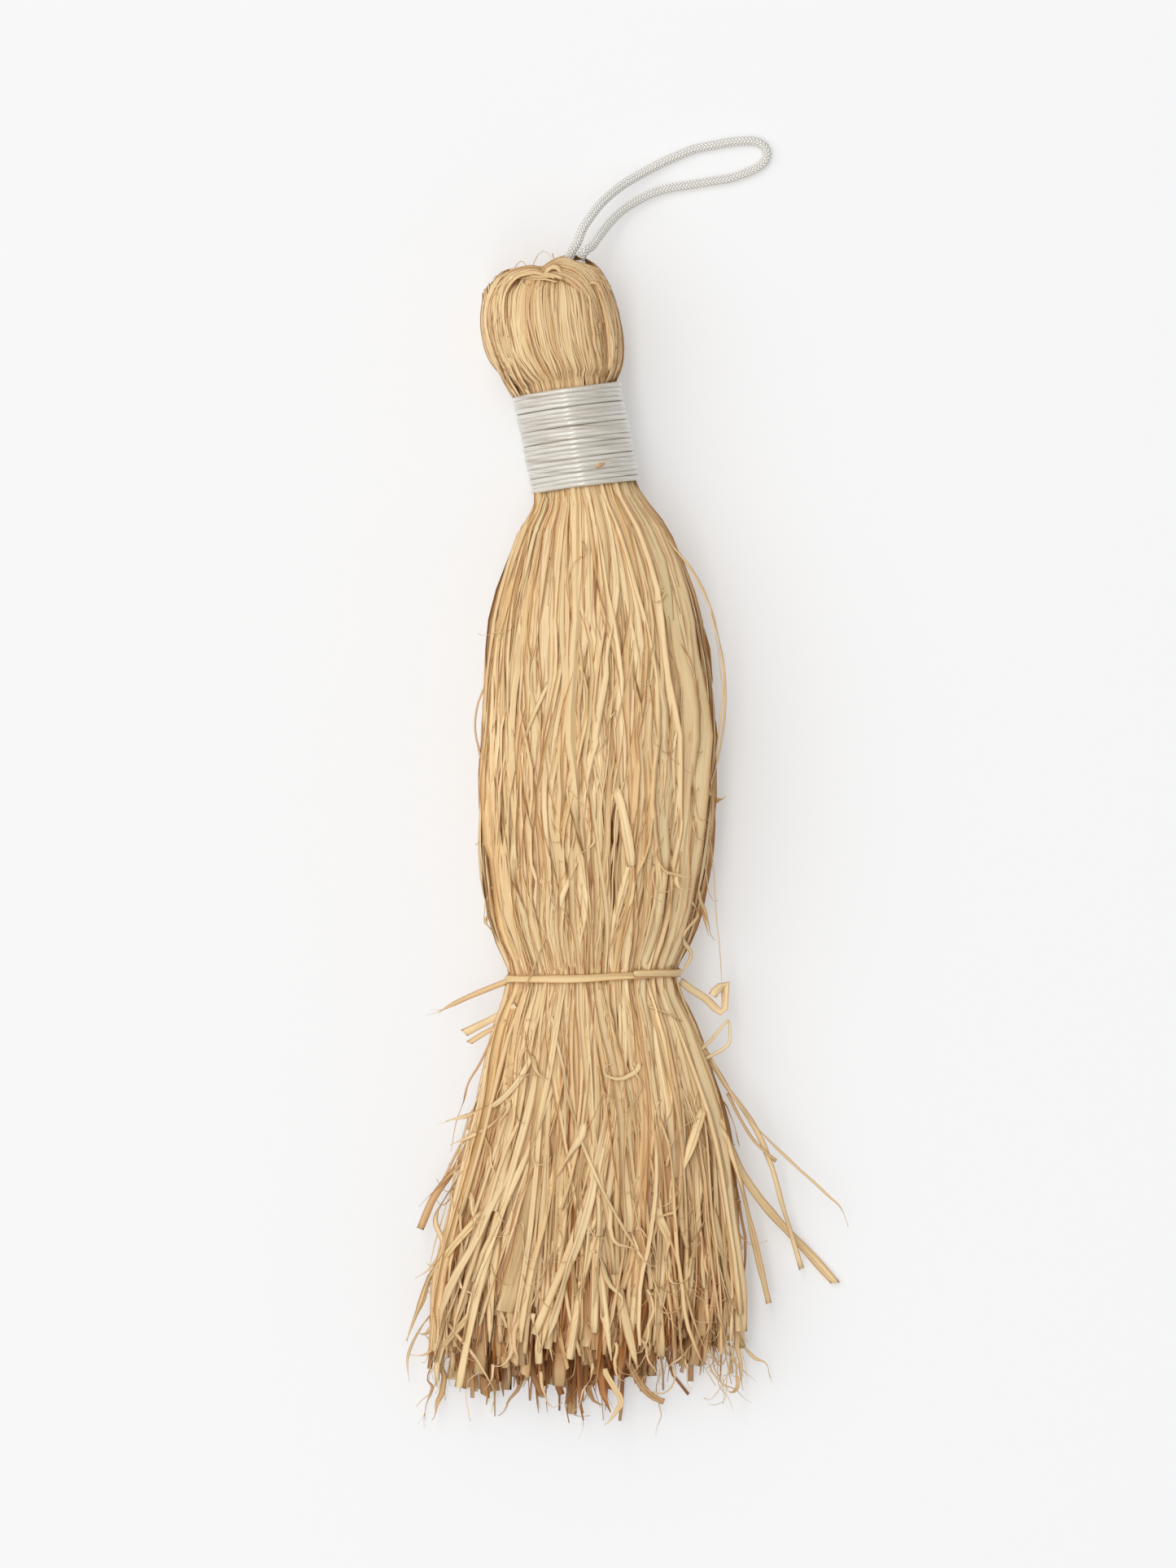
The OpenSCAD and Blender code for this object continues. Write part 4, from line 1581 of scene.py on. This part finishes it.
LOOSE_STRANDS = (
    LooseStrand(
        "caught_bit", width=2.3, tint=0.0, age=0.62, twist=0.4, tip=TipStyle.TORN, node="caught_strand",
        places=((0.4, 96.4, 2.5), (1.8, 97.2, 3.0), (3.6, 98.2, 3.2), (5.8, 99.2, 3.2))),
    LooseStrand(
        "tail_straw", width=1.7, tint=0.2, age=0.22, twist=0.2, tip=TipStyle.FRAYED,
        node="tie_tail_left",
        places=((-26.5, -61.5, 1.0), (-31.5, -63.5, 1.0), (-38.0, -66.2, 3.0), (-44.0, -69.0, 6.0),
                (-48.0, -71.2, 8.0))),
    LooseStrand(
        "tail_curl", width=2.6, tint=0.62, tip=TipStyle.CUT, node="tie_tail_right",
        places=((26.5, -61.5, 0.8), (30.5, -64.5, 0.8), (33.5, -66.3, 1.5), (36.0, -68.5, 2.5),
                (38.5, -71.0, 3.5), (40.2, -69.5, 4.5), (40.0, -65.5, 5.5), (40.4, -62.6, 6.0),
                (37.6, -64.2, 6.5), (36.4, -66.0, 6.5))),
    LooseStrand(
        "crossing_thread", width=0.75, tint=0.97, age=0.2, twist=2.2, tip=TipStyle.TORN,
        node="crossing_strand",
        places=((-13.0, -44.0, 0.2), (-16.0, -50.5, 0.9), (-18.6, -57.0, 2.0), (-20.0, -60.5, 2.2),
                (-22.0, -64.0, 1.5), (-24.5, -67.0, 0.4))),
    LooseStrand(
        "left_bow", width=0.7, tint=0.55, age=0.05, twist=0.8, tip=TipStyle.TORN,
        node="bowed_strand_left",
        places=((-30.5, 36.5, 0.5), (-34.5, 27.0, 2.0), (-36.4, 19.5, 3.0), (-36.4, 13.0, 3.0),
                (-34.2, 5.0, 1.0), (-32.0, 0.0, 0.2))),
    LooseStrand(
        "right_bow", width=0.9, twist=1.1, tip=TipStyle.TORN, node="bowed_strand_right",
        places=((16.0, 85.5, 0.5), (23.8, 73.0, 4.0), (30.8, 63.3, 8.0), (35.0, 55.0, 10.0),
                (38.0, 45.0, 10.0), (40.0, 32.5, 9.0), (40.2, 22.5, 8.0), (39.2, 13.0, 6.0),
                (37.2, 4.0, 3.0), (33.8, -8.5, 0.5), (31.0, -15.0, 0.2))),
    LooseStrand(
        "right_flyaway", width=1.7, tint=0.55, age=0.05, twist=0.6, node="skirt_strand_short",
        places=((30.0, -78.0, 0.8), (37.0, -88.0, 1.0), (43.0, -97.0, 2.0), (50.0, -107.5, 3.0),
                (54.5, -118.0, 4.0), (58.0, -131.0, 4.0), (64.0, -150.5, 4.0))),
    LooseStrand(
        "long_flyaway", width=0.85, tint=0.5, age=0.1, twist=0.8, tip=TipStyle.TORN,
        node="skirt_strand_long",
        places=((17.0, -69.0, 0.8), (25.0, -72.5, 1.2), (31.0, -77.5, 1.2), (41.0, -94.5, 2.0),
                (50.5, -107.0, 5.0), (61.0, -117.5, 8.0), (72.0, -127.5, 10.0), (76.0, -131.5, 10.0),
                (78.3, -137.3, 9.0))),
    LooseStrand(
        "wide_flyaway", width=2.6, tint=0.4, age=0.12, twist=0.25, node="skirt_strand_wide",
        places=((38.0, -104.0, 0.6), (44.0, -117.5, 1.0), (50.0, -127.5, 1.0), (57.0, -136.0, 1.0),
                (66.0, -145.5, 1.0), (74.5, -155.0, 1.0))),
)

WISPS = (
    LooseStrand(
        "right_bow_twin", width=0.5, tint=0.7, twist=1.0, tip=TipStyle.TORN,
        places=((15.5, 86.0, 0.6), (23.0, 73.6, 5.0), (30.2, 64.3, 9.0), (36.2, 49.5, 11.0),
                (38.9, 33.0, 10.0), (38.6, 20.0, 9.0), (36.8, 6.0, 5.0), (33.0, -7.0, 1.0))),
    LooseStrand(
        "right_hair", width=0.3, tint=0.3, age=0.1, tip=TipStyle.TORN,
        places=((34.5, -9.0, 0.5), (36.8, -25.0, 5.0), (37.7, -42.0, 9.0), (38.8, -58.0, 9.0),
                (39.4, -68.0, 8.0))),
    LooseStrand(
        "right_vee", width=1.0,
        places=((30.5, -84.5, 0.8), (36.0, -79.5, 4.0), (40.6, -74.2, 7.0), (41.6, -73.6, 7.0),
                (42.0, -75.0, 7.0), (42.0, -79.5, 7.0), (41.0, -81.6, 6.0), (37.0, -84.0, 4.0),
                (33.5, -85.6, 0.8))),
    LooseStrand(
        "right_ringlet", width=1.3, twist=2.4, tip=TipStyle.TORN,
        places=((25.5, -32.0, 0.4), (29.5, -36.2, 2.0), (31.5, -41.0, 3.0), (28.5, -45.4, 3.0),
                (27.6, -49.0, 2.5), (30.0, -53.0, 3.0), (28.3, -57.0, 2.0), (25.5, -60.5, 1.4))),
    LooseStrand(
        "left_torn", width=1.1, tint=0.5, age=0.15, twist=2.2, tip=TipStyle.FRAYED,
        places=((-31.0, -32.0, 0.5), (-33.0, -37.0, 2.0), (-31.8, -40.5, 2.0), (-33.4, -43.0, 2.0),
                (-30.5, -47.5, 1.0), (-28.6, -53.0, 0.5))),
    LooseStrand(
        "left_stub", width=2.3, age=0.05, twist=0.2,
        places=((-24.0, -69.0, 0.6), (-30.0, -72.5, 1.0), (-36.0, -75.5, 4.0), (-40.0, -77.5, 6.0))),
    LooseStrand(
        "left_stub_low", width=1.5, tint=0.35, age=0.2, twist=0.3,
        places=((-27.0, -74.0, 0.6), (-33.0, -77.0, 2.0), (-38.5, -80.5, 4.0))),
    LooseStrand(
        "left_wavy", width=0.7, tint=0.02, age=0.35, twist=1.6, tip=TipStyle.TORN,
        places=((-29.0, -74.0, 0.5), (-34.8, -86.0, 2.0), (-38.6, -92.5, 3.0), (-40.2, -99.0, 3.0),
                (-42.4, -105.0, 3.0), (-44.0, -114.0, 2.0))),
    LooseStrand(
        "left_sweep", width=1.9, twist=0.9, tip=TipStyle.FRAYED,
        places=((-19.0, -84.0, 0.6), (-23.5, -92.0, 1.6), (-30.5, -99.0, 2.4), (-38.0, -102.5, 4.0),
                (-45.5, -104.5, 6.0))),
    LooseStrand(
        "left_sweep_low", width=1.2, tint=0.8, twist=0.9, tip=TipStyle.TORN,
        places=((-24.0, -95.0, 0.8), (-30.0, -104.0, 1.6), (-36.0, -108.0, 2.5), (-44.5, -112.0, 5.0))),
    LooseStrand(
        "left_brown", width=0.9, tint=0.05, age=0.45, twist=0.6, tip=TipStyle.TORN,
        places=((-33.0, -105.0, 0.4), (-40.0, -116.0, 1.0), (-47.0, -124.0, 2.0),
                (-54.0, -131.0, 3.0))),
    LooseStrand(
        "left_brown_wide", width=2.2, tint=0.1, age=0.4, tip=TipStyle.CUT,
        places=((-36.0, -108.0, 0.2), (-43.0, -119.0, 0.5), (-49.5, -128.0, 1.0),
                (-53.6, -138.0, 1.5))),
    LooseStrand(
        "left_pale", width=2.4, tint=0.85, twist=0.9, tip=TipStyle.FRAYED,
        places=((-34.0, -132.0, 1.5), (-44.0, -143.5, 3.5), (-50.0, -152.0, 4.0), (-53.0, -160.0, 4.0),
                (-55.5, -166.0, 3.0), (-57.8, -172.5, 2.0))),
    LooseStrand(
        "left_curl", width=1.6, tint=0.7, twist=1.2, tip=TipStyle.TORN,
        places=((-40.0, -120.0, 1.5), (-45.0, -127.0, 3.0), (-49.0, -135.0, 3.0), (-46.5, -143.0, 3.0),
                (-50.5, -150.0, 3.0), (-55.0, -153.0, 3.0))),
    LooseStrand(
        "left_low_bow", width=1.0, age=0.1, twist=0.9, tip=TipStyle.TORN,
        places=((-40.0, -150.0, 1.0), (-47.0, -160.0, 2.5), (-53.5, -168.0, 3.0), (-57.5, -177.0, 3.0),
                (-57.0, -185.0, 3.0))),
    LooseStrand(
        "left_low_pale", width=2.2, tint=0.9, tip=TipStyle.FRAYED,
        places=((-33.0, -150.0, 1.0), (-38.0, -163.0, 2.0), (-45.0, -172.0, 2.5),
                (-50.0, -182.0, 2.5))),
    LooseStrand(
        "left_low_cross", width=1.1, tint=0.3, age=0.2, twist=0.8, tip=TipStyle.TORN,
        places=((-50.0, -158.0, 1.0), (-44.0, -168.0, 2.0), (-36.0, -178.0, 2.0),
                (-30.0, -188.0, 2.0))),
    LooseStrand(
        "left_zigzag", width=0.9, tint=0.02, age=0.4, twist=1.8, tip=TipStyle.FRAYED,
        places=((-45.0, -160.0, -6.0), (-49.0, -176.0, -6.0), (-51.4, -184.0, -5.0),
                (-49.8, -187.0, -5.0), (-51.8, -192.0, -6.0), (-52.4, -196.0, -6.0))),
    LooseStrand(
        "low_wisp", width=0.8, tint=0.02, age=0.5, twist=1.5, tip=TipStyle.FRAYED,
        places=((-4.0, -168.0, -9.0), (-4.8, -180.0, -10.0), (-4.0, -190.0, -12.0),
                (-3.2, -198.5, -14.0))),
    LooseStrand(
        "low_bent", width=2.0, tint=0.1, age=0.4, twist=0.4, tip=TipStyle.CUT,
        places=((9.0, -176.0, -12.0), (13.5, -185.0, -14.0), (17.5, -189.5, -16.0),
                (21.5, -191.5, -16.0))),
    LooseStrand(
        "right_curl", width=1.2, age=0.02, twist=2.4, tip=TipStyle.FRAYED,
        places=((38.0, -160.0, -5.0), (43.8, -171.0, -4.0), (49.0, -177.5, -2.0), (53.0, -179.5, -1.0),
                (54.2, -184.0, -2.0))),
    LooseStrand(
        "right_curl_thin", width=0.6, tint=0.5, age=0.1, twist=1.0, tip=TipStyle.TORN,
        places=((36.0, -164.0, -6.0), (39.5, -172.5, -5.0), (43.5, -179.5, -5.0),
                (50.0, -185.3, -5.0))),
    LooseStrand(
        "right_eye", width=0.8, tint=0.5, age=0.05, twist=0.8, tip=TipStyle.TORN,
        places=((33.5, -164.0, -5.0), (35.0, -174.0, -4.0), (38.8, -180.0, -4.0), (41.0, -176.0, -3.0),
                (39.2, -170.5, -3.0), (37.5, -166.0, -4.0))),
    LooseStrand(
        "right_drop", width=2.0, tint=0.3, age=0.1, twist=0.7, tip=TipStyle.CUT,
        places=((44.0, -118.0, 0.6), (47.5, -134.0, 0.8), (50.8, -147.0, 1.0), (53.8, -161.0, 1.0))),
    LooseStrand(
        "right_branch", width=1.1, tint=0.2, age=0.2, twist=0.6,
        places=((41.0, -96.0, 1.0), (45.0, -104.0, 2.0), (49.5, -111.0, 4.0), (56.0, -117.0, 7.0))),
    LooseStrand(
        "front_diagonal", width=1.0,
        places=((-13.0, -72.0, 0.5), (-10.3, -85.0, 1.2), (-5.5, -105.0, 1.8), (0.8, -121.0, 2.0),
                (7.5, -134.0, 2.2), (13.8, -145.0, 2.4))),
    LooseStrand(
        "front_fold_right", width=2.9, tint=0.85, twist=1.3, tip=TipStyle.TORN,
        places=((33.5, -100.0, 1.0), (31.5, -106.0, 2.4), (29.3, -113.0, 2.4), (26.8, -121.0, 1.6))),
    LooseStrand(
        "front_curl_right", width=1.6, tint=0.75, twist=1.6, tip=TipStyle.TORN,
        places=((22.0, -118.0, 0.8), (23.8, -112.0, 2.2), (27.5, -106.0, 3.0), (33.0, -103.0, 2.0))),
    LooseStrand(
        "front_fold_low", width=2.8, tint=0.8, twist=1.5, tip=TipStyle.FRAYED,
        places=((19.0, -126.0, 0.8), (20.0, -134.0, 2.0), (22.5, -140.0, 2.2), (21.8, -147.0, 1.8))),
    LooseStrand(
        "front_fold_mid", width=2.6, tint=0.7, age=0.05, twist=1.5, tip=TipStyle.TORN,
        places=((-3.0, -104.0, 0.8), (-4.5, -109.0, 2.0), (-8.0, -114.5, 2.0), (-9.5, -118.0, 1.5))),
    LooseStrand(
        "front_fold_centre", width=2.2, tint=0.9, twist=1.8, tip=TipStyle.TORN,
        places=((2.0, -146.0, 0.6), (4.5, -154.0, 2.0), (8.5, -159.0, 2.0), (7.0, -164.0, 1.5))),
    LooseStrand(
        "belly_tear", width=2.2, tint=0.7, twist=1.2, tip=TipStyle.TORN,
        places=((-5.5, -24.0, 0.3), (-8.0, -30.0, 1.6), (-10.3, -37.0, 2.0), (-7.8, -42.0, 1.6))),
    LooseStrand(
        "belly_flap", width=3.0, tint=0.7, twist=0.6, tip=TipStyle.CUT,
        places=((6.5, -2.0, 0.3), (9.0, -10.0, 1.2), (10.5, -18.0, 1.6), (11.5, -26.0, 1.2))),
    LooseStrand(
        "belly_cross", width=1.3, tint=0.4, age=0.1, twist=0.8, tip=TipStyle.TORN,
        places=((-14.0, 30.0, 0.6), (-17.5, 22.0, 1.4), (-21.0, 13.0, 1.4), (-23.5, 4.0, 0.8))),
    LooseStrand(
        "belly_hair", width=0.3, tint=0.2, age=0.3, tip=TipStyle.TORN,
        places=((-13.0, -13.0, 0.5), (-10.5, -16.0, 1.6), (-7.0, -17.5, 1.8), (-4.5, -17.0, 1.2))),
    LooseStrand(
        "neck_curl", width=0.6, tint=0.1, age=0.3, twist=1.6, tip=TipStyle.TORN,
        places=((-4.0, 74.0, 0.5), (-2.5, 70.0, 1.6), (-6.0, 67.0, 2.0), (-7.5, 63.0, 1.2))),
    LooseStrand(
        "crown_hair", width=0.28, tint=0.1, age=0.3, twist=0.2, tip=TipStyle.TORN,
        places=((-19.5, 155.8, -7.0), (-18.6, 158.4, -11.0), (-17.2, 161.6, -14.0),
                (-15.4, 162.8, -14.0), (-13.6, 161.4, -13.0), (-12.6, 158.8, -9.0))),
    LooseStrand(
        "crown_hair_low", width=0.28, tint=0.3, age=0.2, twist=0.2, tip=TipStyle.TORN,
        places=((-25.5, 154.6, -7.0), (-24.2, 158.2, -12.0), (-22.4, 159.8, -13.0),
                (-20.8, 158.0, -11.0), (-20.2, 155.6, -7.0))),
    LooseStrand(
        "crown_hair_short", width=0.35, tint=0.1, age=0.5, twist=0.2, tip=TipStyle.TORN,
        places=((-12.8, 162.0, -14.0), (-12.1, 159.8, -11.0), (-11.3, 157.5, -7.5))),
    LooseStrand(
        "head_flap", width=1.1, tint=0.2, age=0.15, twist=1.4, tip=TipStyle.TORN,
        places=((3.5, 143.0, 0.2), (3.0, 140.0, 0.8), (1.4, 137.0, 1.2), (0.2, 135.5, 0.6))),
    LooseStrand(
        "head_torn_left", width=0.8, tint=0.5, age=0.1, twist=1.0, tip=TipStyle.FRAYED,
        places=((-29.6, 149.5, 0.3), (-30.0, 146.0, 0.7), (-29.8, 142.0, 0.8), (-30.6, 139.0, 0.6))),
    LooseStrand(
        "neck_tuck_left", width=1.2, tint=0.15, age=0.1, tip=TipStyle.CUT,
        places=((-29.0, 128.5, 0.4), (-27.2, 124.8, 0.9), (-24.5, 121.8, 0.9), (-20.5, 119.3, 0.3))),
)


# ------------------------------------------------------------------ the scene


@dataclass
class Studio:
    """The table, the lights and the camera."""

    view_height: float = 3.9
    lens: float = 291.3
    aim: tuple[float, float, float] = (-0.0019, -0.0009, 0.02)
    sun: float = 1.15
    sun_pitch: float = -8.0
    sun_tilt: float = 34.0
    sun_soft: float = 62.0
    strip: float = 17.0
    strip_size: tuple[float, float] = (0.34, 3.4)
    strip_place: tuple[float, float, float] = (-0.28, 0.1, 2.0)
    sky: float = 0.45
    table_size: float = 24.0

    def build(self) -> None:
        """Set up the plain studio."""
        bpy.ops.mesh.primitive_plane_add(size=self.table_size, location=(0, 0, 0))
        table = bpy.context.object
        table.name = "table"
        table.data.materials.append(TableFinish().make())
        sun = self._lamp("left_window", "SUN", self.sun)
        sun.data.angle = math.radians(self.sun_soft)
        sun.rotation_euler = (math.radians(self.sun_pitch), math.radians(-self.sun_tilt), 0)
        box = self._lamp("strip_softbox", "AREA", self.strip)
        box.data.shape = "RECTANGLE"
        box.data.size, box.data.size_y = self.strip_size
        box.location = self.strip_place
        box.visible_camera = False
        world = bpy.data.worlds.new("studio")
        bpy.context.scene.world = world
        world.use_nodes = True
        sky = world.node_tree.nodes["Background"]
        sky.inputs["Color"].default_value = (1, 1, 1, 1)
        sky.inputs["Strength"].default_value = self.sky
        camera = bpy.data.cameras.new("camera")
        camera.lens = self.lens
        holder = bpy.data.objects.new("camera", camera)
        holder.location = (self.aim[0], self.aim[1], self.aim[2] + self.view_height)
        bpy.context.scene.collection.objects.link(holder)
        bpy.context.scene.camera = holder
        bpy.context.scene.view_settings.view_transform = "Standard"

    @staticmethod
    def _lamp(name: str, kind: str, energy: float) -> bpy.types.Object:
        """Hang a lamp that looks straight down.

        Args:
            name: its name.
            kind: its type.
            energy: its strength.

        Returns:
            The lamp's object.
        """
        lamp = bpy.data.lights.new(name, kind)
        lamp.energy = energy
        holder = bpy.data.objects.new(name, lamp)
        bpy.context.scene.collection.objects.link(holder)
        return holder


def put(weave: Weave, name: str, material: bpy.types.Material, slot: str, body: str,
        *nodes: str) -> bpy.types.Object:
    """Make a piece, on its body and in its parts' place.

    Args:
        weave: the piece's mesh.
        name: its name.
        material: its finish.
        slot: the slot name for that finish; not used.
        body: the body it rides on.
        nodes: the parts that it stands for.

    Returns:
        The object.
    """
    piece = weave.to_object(name, material)
    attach(piece, body)
    if nodes:
        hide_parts(*nodes)
    LOG.info("%s: %d faces", name, len(piece.data.polygons))
    return piece


def main() -> None:
    """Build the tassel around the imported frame."""
    logging.basicConfig(level=logging.INFO, format="%(message)s")
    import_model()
    Studio().build()
    form = HankForm.from_frame()
    raffia = RaffiaFinish("raffia").make()
    satin = SatinFinish("satin_cord").make()
    braid = BraidFinish("braided_cord").make()

    loop, weave = BraidedLoop(), Weave()
    line = loop.build(weave)
    cord = put(weave, "braided_loop", braid, "braided_cord", "loop", "hang_loop")
    path = [tuple(p * MM) for p in line[::12]] + [tuple(line[-1] * MM)]
    tuple(line[0] * MM)
    weave = Weave()
    LoopKnot(loop).build(weave)
    put(weave, "cord_knot", braid, "braided_cord", "knot", "loop_knot")

    rng = np.random.default_rng(SEED)
    belly = Belly(form)
    weaves = [Weave() for _ in range(belly.locks)]
    belly.build(rng, weaves)
    for i, weave in enumerate(weaves, 1):
        put(weave, f"strands_{i:02d}", raffia, "raffia", "tassel", f"raffia_lock_{i:02d}")
    weave = Weave()
    belly.build_core(rng, weave)
    put(weave, "inner_strands", raffia, "raffia_inner", "tassel", "core_strands")

    front, back = Weave(), Weave()
    Head(form).build(rng, front, back)
    put(front, "crown_front", raffia, "raffia", "tassel", "crown_fold_front")
    put(back, "crown_back", raffia, "raffia", "tassel", "crown_fold_back")

    weave = Weave()
    NeckBinding(form).build(rng, weave)
    put(weave, "satin_winding", satin, "satin_cord", "tassel", "neck_binding")

    tie = WaistTie(form)
    for name, node, start, end, rise, shift in (("tie_first_lap", "waist_tie", -60, 300, 0.8, 0.0),
                                                ("tie_second_lap", "waist_tie_lap", -25, 62, 1.2, 0.5)):
        weave = Weave()
        tie.lap(rng, weave, start, end, rise, shift)
        put(weave, name, raffia, "raffia", "tassel", node)

    for loose in LOOSE_STRANDS:
        weave = Weave()
        loose.add(rng, form, weave)
        slot = "raffia_dark" if loose.age > DARK_AGE else "raffia"
        put(weave, loose.name, raffia, slot, "tassel", loose.node)
    weave = Weave()
    for wisp in WISPS:
        wisp.add(rng, form, weave)
    curls = Curls(form)
    for count, low, high in ((90, form.waist_y + 26, form.neck_low - 14),
                             (90, form.waist_y - 70, form.waist_y - 10),
                             (210, form.tip_y + 14, form.waist_y - 60)):
        curls.scatter(rng, weave, count, low, high)
    put(weave, "loose_wisps", raffia, "raffia", "tassel")


if __name__ == "__main__":
    main()
